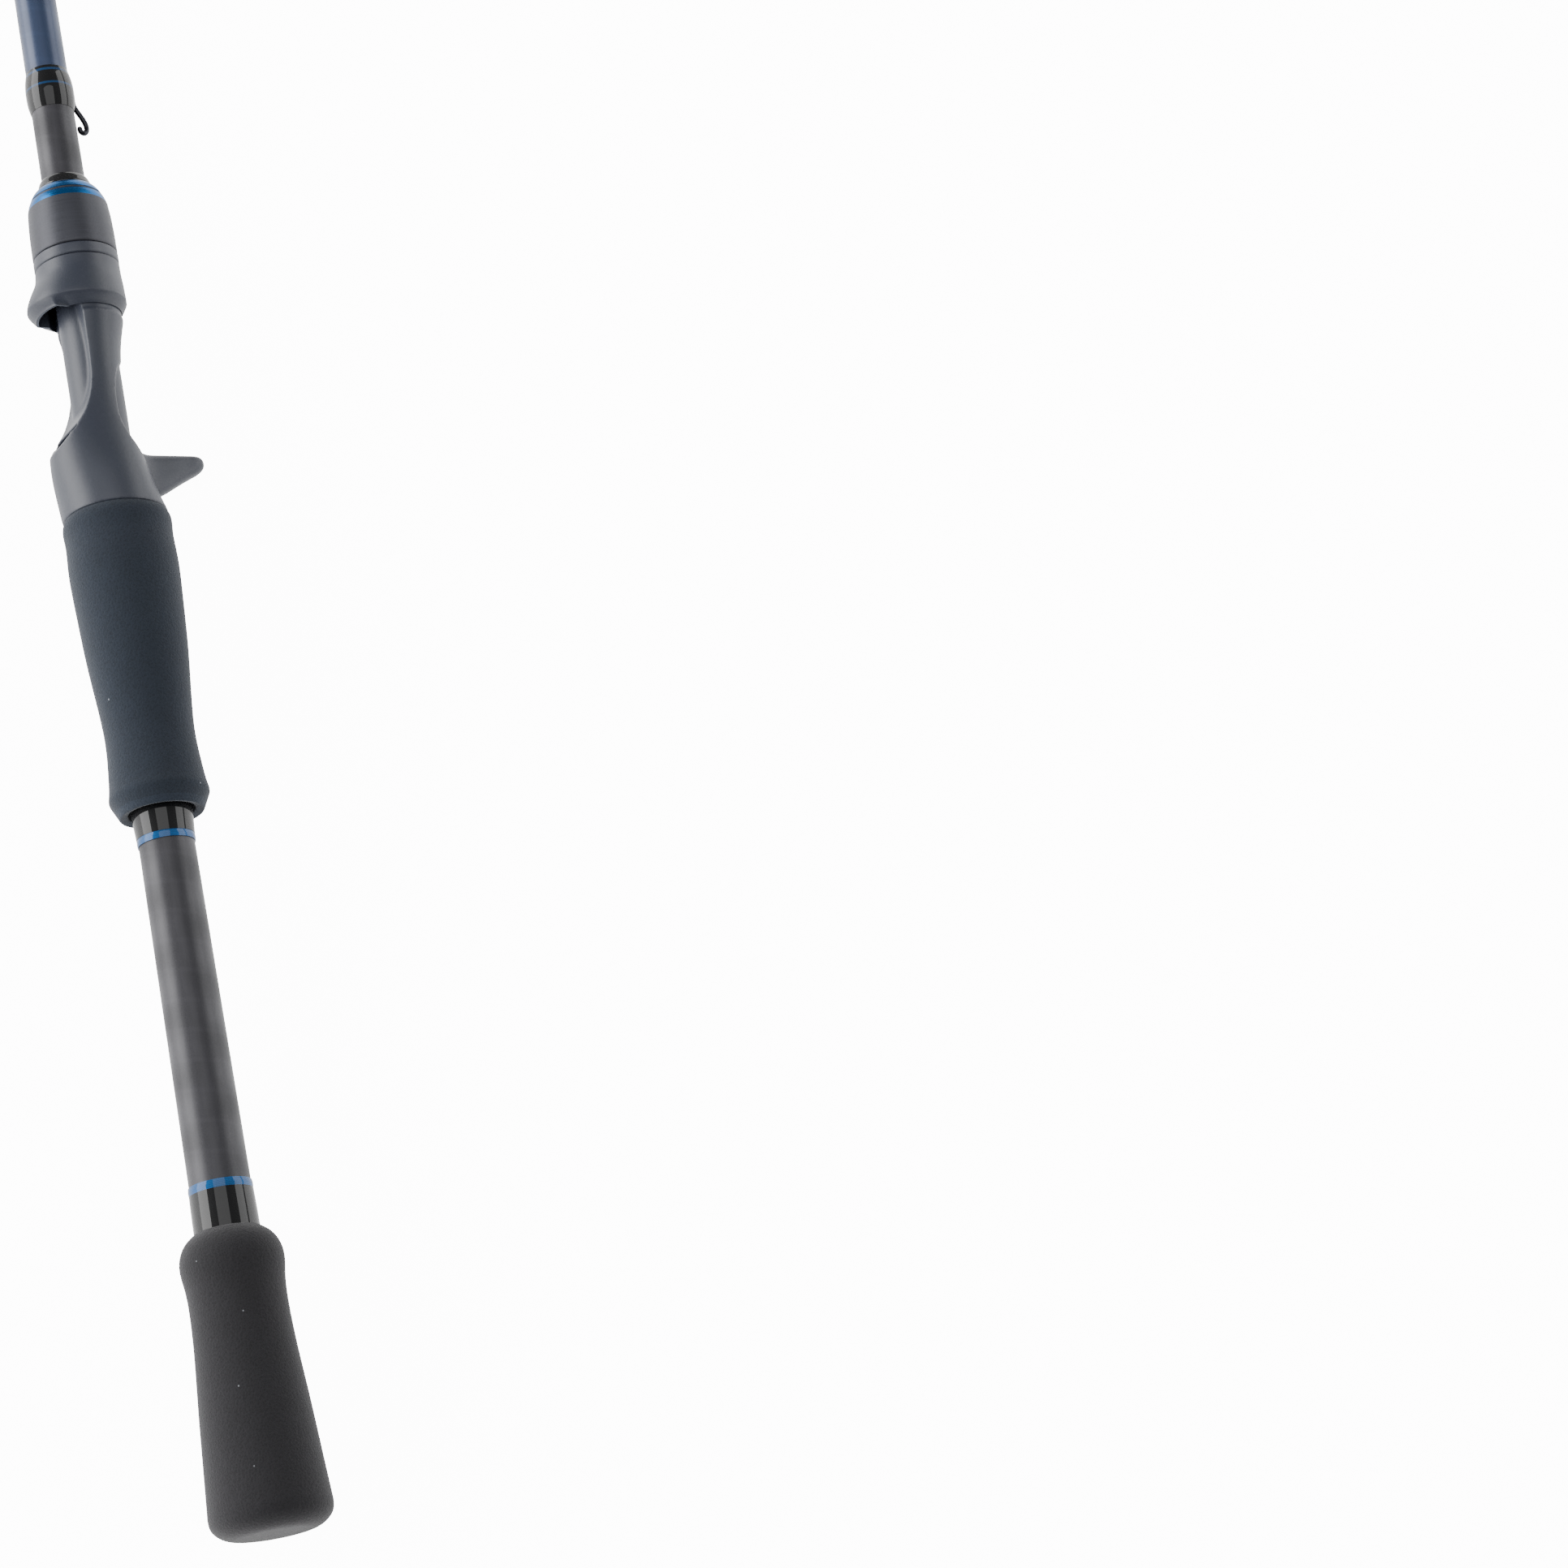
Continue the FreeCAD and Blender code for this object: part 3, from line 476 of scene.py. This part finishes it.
def finish(name):
    """The finish of that name, made the first time that it is asked for."""
    if name not in FINISHES:
        c = bpy.context.scene.rod_colours
        blue_shade = scaled(c.blue_lacquer, 0.6)
        makers = {
            # matte foam in two shades, with the cut tail face a little paler
            "EVA foam butt": lambda n: eva_foam(n, c.butt_foam),
            "EVA foam rear": lambda n: eva_foam(n, c.rear_foam),
            "EVA foam cut face": lambda n: eva_foam(n, scaled(c.rear_foam, 1.3)),
            # a satin tube with hardly a reflection, and the glossier blue one
            "Satin lacquered carbon":
                lambda n: lacquered_carbon(n, c.carbon, c.carbon_dark, 0.15, 0.42, 0.0, 0.9),
            "Blue lacquered carbon":
                lambda n: lacquered_carbon(n, c.blue_lacquer, blue_shade, 0.3, 0.36, 0.15, 0.4),
            # near-black under a mirror, and metallic blue thread, dimmer at the keeper
            "Epoxy over black thread": lambda n: epoxy_winding(n, c.winding),
            "Epoxy over blue thread": lambda n: epoxy_winding(n, c.blue_thread, 0.6),
            "Epoxy over dim blue thread": lambda n: epoxy_winding(n, scaled(c.blue_thread, 0.45)),
            # slate satin without a clear reflection
            "Moulded nylon": lambda n: moulded_nylon(n, c.seat),
            # dull lathe-turned grey, and a bright blue with finer rings
            "Coated aluminium": lambda n: turned_metal(n, c.nut, 0.35, 0.4, 0.22),
            "Blue anodised aluminium": lambda n: turned_metal(n, c.blue_metal, 0.9, 0.24, 0.15, 0.2),
            # dark mirror, black gloss, and two dull ones that hardly show; the liner's grey is paler than its
            # rubber, painted light inside the hood's dark pocket
            "Smoked steel": lambda n: plain_grain(n, c.metal, 1.0, 0.2, 0.5, 0.15),
            "Ring ceramic": lambda n: plain_grain(n, c.ceramic, 0.0, 0.12, 0.4, 0.2),
            "Liner rubber": lambda n: plain_grain(n, linear("#4b505a"), 0.0, 0.8, 0.4, 0.25),
            "Arbor foam": lambda n: plain_grain(n, linear("#8c8a84"), 0.0, 0.9, 0.8, 0.2),
        }
        FINISHES[name] = makers[name](name)
    return FINISHES[name]


# ------------------------------------------------------------------ blank, grips and windings
# (distance from the butt, outside radius), straight between the stations
BLANK = np.array([(8.0, 7.9), (82.0, 7.4), (170.0, 6.82), (352.0, 5.5), (402.0, 5.3), (2128.0, 0.95)])
BLANK_WALL = (1.2, 0.45)
BLUE_START = 379.6
CUT_FACE_END = 178.1   # the cut face at the rear grip's tail ends here


def blank_radius(x):
    """Outside radius of the blank, straight between its stations."""
    return np.interp(x, BLANK[:, 0], BLANK[:, 1])


def bore(start, end):
    """Points back along the blank's surface, with the glue line between."""
    x = np.unique(np.concatenate([[start, end], BLANK[(BLANK[:, 0] > start) & (BLANK[:, 0] < end), 0]]))[::-1]
    return np.stack([x, blank_radius(x) + GLUE], -1)


class ROD_OT_blank(Operator):
    """The tapered carbon tube, bare and satin to the keeper and blue beyond it"""
    bl_idname = "rod.blank"
    bl_label = "Blank"

    def execute(self, context):
        start, end = reach("blank")
        x = np.concatenate([np.linspace(start, BLUE_START, 60), np.linspace(BLUE_START, end, 150)[1:]])
        outer = np.stack([x, blank_radius(x)], -1)
        inner_x = np.array([end, BLANK[-2, 0], start])
        wall = np.array([BLANK_WALL[1], BLANK_WALL[0], BLANK_WALL[0]])
        inner = np.stack([inner_x, blank_radius(inner_x) - wall], -1)
        turned("rod_blank", joined(outer, inner),
               [finish("Satin lacquered carbon"), finish("Blue lacquered carbon")],
               "rod", ["blank"], zone=lambda mid: mid > BLUE_START)
        return {"FINISHED"}


class ROD_OT_grips(Operator):
    """The split grip: a flared butt grip and a longer grip behind the seat, both of EVA foam"""
    bl_idname = "rod.grips"
    bl_label = "Foam grips"

    def execute(self, context):
        start, end = reach("butt_grip")
        floor = BLANK[0, 0]
        outer = joined(
            line((start, 0.0), (start, 8.6), 8),
            spline([(0.0, 8.6), (0.12, 9.6), (0.5, 11.0), (1.7, 13.0), (3.4, 14.3), (5.7, 14.65)], 26),
            spline([(5.7, 14.65), (17.0, 13.9), (32.0, 12.9), (44.0, 12.0), (53.0, 11.65), (60.0, 11.95),
                    (64.6, 12.4), (67.6, 11.8), (70.2, 10.2), (end, 7.9)], 130))
        inner = joined(bore(floor, end), line((floor, blank_radius(floor) + GLUE), (floor, 0.0)))
        grip = turned("grip_butt", joined(outer, inner), [finish("EVA foam butt")], "rod",
                      ["butt_grip"], poles=True)

        end = reach("rear_grip")[1]
        lip = 177.2
        outer = joined(
            line((lip, 8.3), (lip - 0.15, 8.5)), line((lip - 0.15, 8.5), (lip - 0.6, 9.9), 4),
            spline([(lip - 0.6, 9.9), (lip - 0.6, 10.2), (lip - 0.35, 10.45)], 5),
            line((lip - 0.35, 10.45), (180.1, 12.0), 8),
            spline([(180.1, 12.0), (180.8, 12.28), (182.6, 12.15), (187.0, 11.6), (196.0, 11.05),
                    (204.0, 11.4), (218.0, 12.6), (232.0, 13.35), (244.0, 13.6), (250.0, 13.45),
                    (end - 0.4, 13.12), (end, 12.9)], 150))
        deep = lip + 4.0
        inner = joined(bore(deep, end), line((deep, blank_radius(deep) + GLUE), (deep, 8.3)),
                       line((deep, 8.3), (lip, 8.3), 6))
        grip = turned("grip_rear", joined(outer, inner),
                      [finish("EVA foam rear"), finish("EVA foam cut face")],
                      "rod", ["rear_grip"], zone=lambda x: x < CUT_FACE_END)
        return {"FINISHED"}


# name, profile of the thread and resin, finish, CAD node
WINDINGS = [
    ("winding_butt", [(72.0, 7.88), (75.0, 7.84), (79.3, 7.74), (81.3, 7.68)], "Epoxy over black thread",
     "butt_winding"),
    ("band_butt", [(81.3, 7.64), (82.3, 7.74), (83.3, 7.62)], "Epoxy over blue thread", "blue_band_rear"),
    ("band_rear", [(168.8, 7.06), (169.7, 7.16), (170.6, 7.06)], "Epoxy over blue thread", "blue_band_front"),
    ("winding_rear", [(170.6, 7.14), (173.1, 7.3), (179.2, 7.75), (181.2, 7.95)], "Epoxy over black thread",
     "rear_winding"),
]


class ROD_OT_windings(Operator):
    """The thread windings at the grips, with their blue bands, all under epoxy"""
    bl_idname = "rod.windings"
    bl_label = "Windings"

    def execute(self, context):
        for name, top, look, node in WINDINGS:
            outer = spline(top, 24)
            turned(name, joined(outer, bore(top[0][0], top[-1][0])), [finish(look)], "rod", [node])
        return {"FINISHED"}


# ------------------------------------------------------------------ reel seat
def relaxed(points, edges, weight, rounds):
    """Points moved towards the middle of their neighbours, time after time.

    Each round adds weight times the difference between the mean of a point's neighbours and itself.
    """
    count = len(points)
    ends = np.concatenate([edges[:, 0], edges[:, 1]])
    others = np.concatenate([edges[:, 1], edges[:, 0]])
    degree = np.bincount(ends, minlength=count)[:, None]
    for _ in range(rounds):
        total = np.stack([np.bincount(ends, points[others, k], minlength=count) for k in range(3)], -1)
        points = points + weight[:, None] * (total / degree - points)
    return points


def merged_copy(node, name):
    """A copy of a CAD node's mesh with its loose faces joined up."""
    mesh = frame["nodes"][node].data.copy()
    mesh.name = name
    obj = bpy.data.objects.new(name, mesh)
    bpy.context.scene.collection.objects.link(obj)
    bpy.context.view_layer.objects.active = obj
    weld = obj.modifiers.new("weld", "WELD")
    weld.merge_threshold = WELD
    bpy.ops.object.modifier_apply(modifier="weld")
    mesh = obj.data
    mesh.materials.clear()
    if "custom_normal" in mesh.attributes:
        mesh.attributes.remove(mesh.attributes["custom_normal"])
    return obj


def smooth_copy(node, name, look, body):
    """A finished copy of a CAD node: joined up, shaded smooth up to its creases, in a finish of its own."""
    obj = merged_copy(node, name)
    obj.data.shade_smooth()
    obj.data.set_sharp_from_angle(angle=COPY_CREASE)
    obj.data.materials.append(finish(look))
    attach(obj, body)
    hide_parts(node)
    return obj


def rod_frame(points):
    """Points of the mesh as distance along the rod, towards the reel side and across, in millimetres."""
    p = points / MM
    reelward = p[:, 1] * math.cos(ROLL) + p[:, 2] * math.sin(ROLL)
    across = p[:, 2] * math.cos(ROLL) - p[:, 1] * math.sin(ROLL)
    return p[:, 0], reelward, across


class ROD_OT_seat(Operator):
    """The trigger reel seat, moulded in one: the solid drawn again on an even net, with its corners eased"""
    bl_idname = "rod.seat"
    bl_label = "Reel seat"

    def execute(self, context):
        obj = merged_copy("reel_seat", "seat_body")
        remesh = obj.modifiers.new("net", "REMESH")
        remesh.mode = "VOXEL"
        remesh.voxel_size = context.scene.rod_sizes.voxel
        bpy.ops.object.modifier_apply(modifier="net")
        mesh = obj.data
        points = np.empty(len(mesh.vertices) * 3, np.float32)
        mesh.vertices.foreach_get("co", points)
        points = points.reshape(-1, 3).astype(float)
        edges = np.empty(len(mesh.edges) * 2, np.int32)
        mesh.edges.foreach_get("vertices", edges)
        edges = edges.reshape(-1, 2)
        x, reelward, across = rod_frame(points)
        # the trigger's root is eased most, and the neck past the bed least; root is 1 at its middle
        root = np.exp(-(((x - 272.0) / 5.0) ** 2 + ((reelward + 8.0) / 3.2) ** 2))
        weight = 0.2 + 0.3 * root
        weight[x > 308.5] = 0.1
        points = relaxed(points, edges, weight, 10)
        heavy = np.clip(root * 1.4, 0, 1) * 0.6
        points = relaxed(points, edges, heavy, 60)
        mesh.vertices.foreach_set("co", points.astype(np.float32).ravel())
        mesh.update()
        mesh.shade_smooth()
        mesh.materials.append(finish("Moulded nylon"))
        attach(obj, "rod")
        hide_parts("reel_seat")
        frame["nodes"]["barrel_arbor"].data.materials.clear()
        frame["nodes"]["barrel_arbor"].data.materials.append(finish("Arbor foam"))
        return {"FINISHED"}


# ------------------------------------------------------------------ hood and nut
HOOD_BORE = 9.38
HOOD_ROOF = 12.1
HOOD_ROOF_FALL = 2.1           # how much lower the pocket's roof is at its end
HOOD_POCKET = (313.5, 319.5)   # where the roof starts to fall, and the pocket's end
HOOD_POCKET_HALF = 6.5
HOOD_STEPS = 192
HOOD_BROW = 312.9              # where the skin ends at the crest and the slanted face starts
HOOD_BEND = 0.25               # mm, the bevels at the hood's edges
# distance from the butt, then radii to the reel side, to either side and to the trigger side
HOOD_SKIN = [
    (310.6, 13.5, 11.4, 10.0),
    (311.6, 14.25, 12.1, 10.5),
    (313.0, 14.5, 12.3, 10.7),
    (315.0, 14.0, 12.1, 10.75),
    (318.0, 12.6, 11.6, 10.75),
    (321.0, 11.2, 11.0, 10.7),
    (324.3, 10.7, 10.7, 10.7),
]


def hood_outside(x, turn):
    """Radius of the hood's skin: two half ellipses whose half axes change along the rod."""
    stations = spline(HOOD_SKIN, 200)
    reel, side, trigger = (np.interp(x, stations[:, 0], stations[:, k]) for k in (1, 2, 3))
    across = np.where(np.cos(turn) > 0, reel, trigger)
    return 1 / np.sqrt((np.cos(turn) / across) ** 2 + (np.sin(turn) / side) ** 2)


def hood_inside(x, turn):
    """Radius of the bore, or of the foot's pocket where it is deeper: a round roof with two flat sides."""
    roof = np.interp(x, HOOD_POCKET, [HOOD_ROOF, HOOD_ROOF - HOOD_ROOF_FALL])
    wall = HOOD_POCKET_HALF / np.maximum(np.abs(np.sin(turn)), 1e-6)
    pocket = np.where(np.cos(turn) > 0, np.minimum(roof, wall), 0.0)
    return np.maximum(HOOD_BORE, np.where(x < HOOD_POCKET[1], pocket, 0.0))


class ROD_OT_hood(Operator):
    """The sliding hood with its rubber-lined pocket, and the friction ring in front of it"""
    bl_idname = "rod.hood"
    bl_label = "Sliding hood"

    def execute(self, context):
        face, end = reach("sliding_hood")
        steps = HOOD_STEPS
        turn = np.arange(steps) * 2 * math.pi / steps
        outer_x = np.linspace(end - HOOD_BEND, HOOD_BROW, 44)
        outer = [(x, hood_outside(x, turn)) for x in outer_x]
        # the front edge is broken by a small bevel
        outer.insert(0, (end, hood_outside(end, turn) - HOOD_BEND))
        # from the crest a slanted face falls to the flat lip, with a small bevel where it meets the bore
        top, bottom = hood_outside(HOOD_BROW, turn), hood_inside(HOOD_BROW, turn)
        edge = bottom + 0.12 * (top - bottom)
        high, high_r = HOOD_BROW - HOOD_BEND, top - 0.15
        lip = [(HOOD_BROW - 0.08, top - 0.02), (high, high_r)]
        lip += [(high + (face + 0.2 - high) * share, high_r + (edge - high_r) * share ** 1.15)
                for share in (0.2, 0.4, 0.6, 0.8, 1.0)]
        lip += [(face, edge - 0.3 * (edge - bottom)), (face, bottom + 0.3 * (edge - bottom)),
                (face + HOOD_BEND, bottom)]
        inner_x = [311.5, 312.6, 313.5, 315.0, 317.0, 319.3, 319.55, end - 0.1, end]
        inner = [(x, hood_inside(x, turn)) for x in inner_x]
        rows = outer + lip + inner
        x = np.stack([np.full(steps, row[0]) for row in rows])
        r = np.stack([row[1] for row in rows])
        points = rolled(x, r * np.cos(turn), r * np.sin(turn)).reshape(-1, 3)
        faces = outward(points, grid_faces(len(rows), steps, True))
        piece("hood_shell", points, faces, [finish("Moulded nylon")], "hood", ["sliding_hood"])

        # the liner is drawn paler than its rubber: painted light inside the deep pocket
        smooth_copy("hood_cushion", "hood_liner", "Liner rubber", "hood")

        start, end = reach("friction_ring")
        ring = joined(spline([(start, 10.45), (start + 0.25, 10.68), (start + 0.6, 10.75)], 6),
                      line((start + 0.6, 10.75), (end - 0.5, 10.75)),
                      spline([(end - 0.5, 10.75), (end - 0.2, 10.68), (end, 10.45)], 6),
                      line((end, 10.45), (end, HOOD_BORE)), line((end, HOOD_BORE), (start, HOOD_BORE)),
                      line((start, HOOD_BORE), (start, 10.45)))[:-1]
        turned("hood_ring", ring, [finish("Moulded nylon")], "hood", ["friction_ring"])
        return {"FINISHED"}


NUT_BORE = 8.38
NUT_HOLE = 6.0             # radius of the hole in the nut's nose
NUT_BORE_END = 342.6
NUT_NOSE = 347.0           # end of the nut's metal, under the collar
NUT_SHOULDER = (343.6, 8.4)  # where the metal under the trim ring changes slope
COLLAR_BORE = 5.85
TRIM_GROOVE = (343.2, 344.0)


class ROD_OT_nut(Operator):
    """The lock nut with its blue trim ring and its gloss collar"""
    bl_idname = "rod.nut"
    bl_label = "Lock nut"

    def execute(self, context):
        start = reach("lock_nut")[0]
        trim, trim_end = reach("nut_trim_ring")
        nose = reach("nut_collar")[1]
        body = joined(
            spline([(start, 10.4), (start + 0.15, 10.62), (start + 0.5, 10.74)], 6),
            spline([(start + 0.5, 10.74), (333.0, 10.7), (338.0, 10.5), (trim, 10.22)], 30),
            line((trim, 10.22), (trim, 9.3)), line((trim, 9.3), NUT_SHOULDER),
            line(NUT_SHOULDER, (trim_end, 6.9)), line((trim_end, 6.9), (NUT_NOSE, 6.9)),
            line((NUT_NOSE, 6.9), (NUT_NOSE, NUT_HOLE)), line((NUT_NOSE, NUT_HOLE), (NUT_BORE_END, NUT_HOLE)),
            line((NUT_BORE_END, NUT_HOLE), (NUT_BORE_END, NUT_BORE)),
            line((NUT_BORE_END, NUT_BORE), (start, NUT_BORE)), line((start, NUT_BORE), (start, 10.4)))[:-1]
        turned("nut_body", body, [finish("Coated aluminium")], "nut", ["lock_nut"])
        ring = joined(
            spline([(trim, 10.22), (342.3, 9.95), (343.2, 9.62)], 12),
            spline([(343.2, 9.62), (343.38, 9.3), (343.6, 9.06), (343.9, 9.02), (344.1, 9.2)], 12),
            spline([(344.1, 9.2), (345.2, 8.62), (345.9, 8.1), (trim_end, 7.8)], 14),
            line((trim_end, 7.8), (trim_end, 6.9)), line((trim_end, 6.9), NUT_SHOULDER),
            line(NUT_SHOULDER, (trim, 9.3)), line((trim, 9.3), (trim, 10.22)))[:-1]
        # the groove at the ring's middle is drawn in the nut's dark grey finish
        turned("nut_trim", ring, [finish("Blue anodised aluminium"), finish("Coated aluminium")], "nut",
               ["nut_trim_ring"], zone=lambda x: (x > TRIM_GROOVE[0]) & (x < TRIM_GROOVE[1]))
        collar = joined(
            spline([(trim_end + 0.05, 6.9), (trim_end + 0.5, 7.0), (347.7, 6.75), (nose - 0.5, 6.35),
                    (nose, 6.05)], 20),
            line((nose, 6.05), (nose, COLLAR_BORE)), line((nose, COLLAR_BORE), (NUT_NOSE + 0.02, COLLAR_BORE)),
            line((NUT_NOSE + 0.02, COLLAR_BORE), (NUT_NOSE + 0.02, 6.9)),
            line((NUT_NOSE + 0.02, 6.9), (trim_end + 0.05, 6.9)))[:-1]
        turned("nut_nose", collar, [finish("Epoxy over black thread")], "nut", ["nut_collar"])
        return {"FINISHED"}


# ------------------------------------------------------------------ hook keeper
# radius of the wire, drawn stouter than the 0.42 mm of the CAD node, which is too thin for a hook keeper
KEEPER_WIRE = 0.7
KEEPER_TOE = 378.0
KEEPER_HEEL = 372.4
# the winding's two thin blue lines, from and to
KEEPER_LINES = ((375.2, 375.7), (379.2, 379.9))


def on_keeper_line(x):
    """True where x is on one of the keeper winding's blue lines."""
    return np.any([(x > low) & (x < high) for low, high in KEEPER_LINES], axis=0)


class ROD_OT_keeper(Operator):
    """The wire hook keeper on the trigger side and the winding that holds its foot"""
    bl_idname = "rod.keeper"
    bl_label = "Hook keeper"

    def execute(self, context):
        lift = KEEPER_WIRE + GLUE
        corners = [(KEEPER_TOE, -blank_radius(KEEPER_TOE) - lift), (374.6, -blank_radius(374.6) - lift),
                   (KEEPER_HEEL, -6.2), (370.6, -7.0), (368.9, -8.0), (367.0, -8.75), (365.4, -8.75),
                   (364.6, -8.1), (364.8, -7.2), (365.7, -6.9)]
        tube("keeper_hook", spline(corners, 60), KEEPER_WIRE, [finish("Smoked steel")], "rod",
             ["hook_keeper"])
        start, end = reach("keeper_wrap")
        top = [(start, 5.5), (start + 1.4, 5.85), (373.5, 6.15), (377.0, 6.1), (end - 1.2, 5.7), (end, 5.4)]
        turned("keeper_winding", joined(spline(top, 80), bore(start, end)),
               [finish("Epoxy over black thread"), finish("Epoxy over dim blue thread")], "rod",
               ["keeper_wrap"], zone=on_keeper_line)
        return {"FINISHED"}


# ------------------------------------------------------------------ guides
class ROD_OT_guides(Operator):
    """The nine ringed guides and the tip-top: smoked steel frames, ceramic rings, black windings"""
    bl_idname = "rod.guides"
    bl_label = "Guides"

    def execute(self, context):
        looks = (("frame", "Smoked steel", "guide_metal"), ("ring", "Ring ceramic", "guide_ceramic"),
                 ("wrap", "Epoxy over black thread", "gloss_winding"))
        for node in BODIES["rod"]:
            for part, look, slot in looks:
                if node.startswith(("guide_", "tip_top_")) and "_" + part in node:
                    smooth_copy(node, node + "_made", look, "rod")
        return {"FINISHED"}


# ------------------------------------------------------------------ stage
CAMERA_PLACE = (-0.12069, 0.0, 0.90809)
CAMERA_TURN = (18.4619, -5.9473, -101.2095)   # degrees about X, Y and Z
# strength as a light, and as the eye sees it, which keeps the ground white without lighting the rod more
FLOOR_GLOW = (1.5, 14.0)
SKY_GLOW = (0.3, 14.0)
FLOOR_HALF = 6.0
# name, place, point it faces, width, height, power
SOFTBOXES = (
    ("overhead", (0.45, 0.05, 1.15), (0.3, 0.05, 0.0), 0.9, 0.95, 4.6),
    ("side", (0.6, 1.6, 0.62), (0.5, 0.0, 0.3), 3.6, 1.25, 95.0),
    ("fill", (0.5, -1.5, 0.6), (0.4, 0.0, 0.0), 3.0, 0.9, 24.0),
)


def softbox(name, place, aim, width, height, power):
    """A rectangular studio light at a place, facing a point."""
    data = bpy.data.lights.new(name, "AREA")
    data.shape = "RECTANGLE"
    data.size, data.size_y = width, height
    data.energy = power
    lamp = bpy.data.objects.new(name, data)
    bpy.context.scene.collection.objects.link(lamp)
    lamp.location = place
    lamp.rotation_euler = (Vector(aim) - Vector(place)).to_track_quat("-Z", "Y").to_euler()
    return lamp


class ROD_OT_stage(Operator):
    """The pale floor, the soft lights and the camera"""
    bl_idname = "rod.stage"
    bl_label = "Stage"

    def execute(self, context):
        low, half = CAD_BOX[0].z, FLOOR_HALF
        mesh = bpy.data.meshes.new("floor")
        far = half + 2.0   # further out past the tip
        mesh.from_pydata([(-half, -half, low), (far, -half, low), (far, half, low), (-half, half, low)],
                         [], [(0, 1, 2, 3)])
        floor = bpy.data.objects.new("floor", mesh)
        context.scene.collection.objects.link(floor)
        material, tree, shader, place = blank_material("Painted floor")
        cloud = add(tree, NOISE, {"Vector": place, "Scale": 2.0, "Detail": 2.0}).outputs["Fac"]
        colour = context.scene.rod_colours.floor
        paint = add(tree, MIX, {0: cloud, 6: scaled(colour, 0.99), 7: colour}, data_type="RGBA").outputs[2]
        direct = add(tree, "ShaderNodeLightPath").outputs["Is Camera Ray"]
        glow = add(tree, RANGE, {"Value": direct, "To Min": FLOOR_GLOW[0], "To Max": FLOOR_GLOW[1]})
        set_shader(tree, shader, Base_Color=paint, Emission_Color=paint, Emission_Strength=glow.outputs[0],
                   Roughness=0.9, Specular_IOR_Level=0.1)
        mesh.materials.append(material)

        world = bpy.data.worlds.new("studio")
        context.scene.world = world
        world.use_nodes = True
        sky = world.node_tree
        sky.nodes.clear()
        seen = add(sky, "ShaderNodeLightPath").outputs["Is Camera Ray"]
        strength = add(sky, RANGE, {"Value": seen, "To Min": SKY_GLOW[0], "To Max": SKY_GLOW[1]}).outputs[0]
        shade = add(sky, "ShaderNodeBackground", {"Color": linear("#f2f3f5"), "Strength": strength})
        add(sky, "ShaderNodeOutputWorld", {"Surface": shade.outputs[0]})

        for box in SOFTBOXES:
            softbox(*box)

        data = bpy.data.cameras.new("camera")
        data.lens = context.scene.rod_sizes.lens
        data.sensor_width = 36.0
        data.clip_start, data.clip_end = 0.01, 100.0
        camera = bpy.data.objects.new("camera", data)
        context.scene.collection.objects.link(camera)
        camera.location = CAMERA_PLACE
        camera.rotation_euler = Euler([math.radians(v) for v in CAMERA_TURN])
        context.scene.camera = camera
        return {"FINISHED"}


# ------------------------------------------------------------------ panel and start
OPERATORS = (ROD_OT_blank, ROD_OT_grips, ROD_OT_windings, ROD_OT_seat, ROD_OT_hood, ROD_OT_nut, ROD_OT_keeper,
             ROD_OT_guides, ROD_OT_stage)


class ROD_PT_panel(Panel):
    """Sizes, colours and one button for each group of pieces"""
    bl_label = "Casting rod"
    bl_idname = "ROD_PT_panel"
    bl_space_type = "VIEW_3D"
    bl_region_type = "UI"
    bl_category = "Casting rod"

    def draw(self, context):
        layout = self.layout
        for group in (context.scene.rod_sizes, context.scene.rod_colours):
            box = layout.box()
            for key in group.__annotations__:
                box.prop(group, key)
        for operator in OPERATORS:
            layout.operator(operator.bl_idname)


CLASSES = (RodColours, RodSizes, *OPERATORS, ROD_PT_panel)


def register():
    for item in CLASSES:
        bpy.utils.register_class(item)
    bpy.types.Scene.rod_colours = PointerProperty(type=RodColours)
    bpy.types.Scene.rod_sizes = PointerProperty(type=RodSizes)


def unregister():
    del bpy.types.Scene.rod_sizes
    del bpy.types.Scene.rod_colours
    for item in reversed(CLASSES):
        bpy.utils.unregister_class(item)


def main():
    register()
    for operator in OPERATORS:
        group, name = operator.bl_idname.split(".")
        getattr(getattr(bpy.ops, group), name)()


if __name__ == "__main__":
    main()
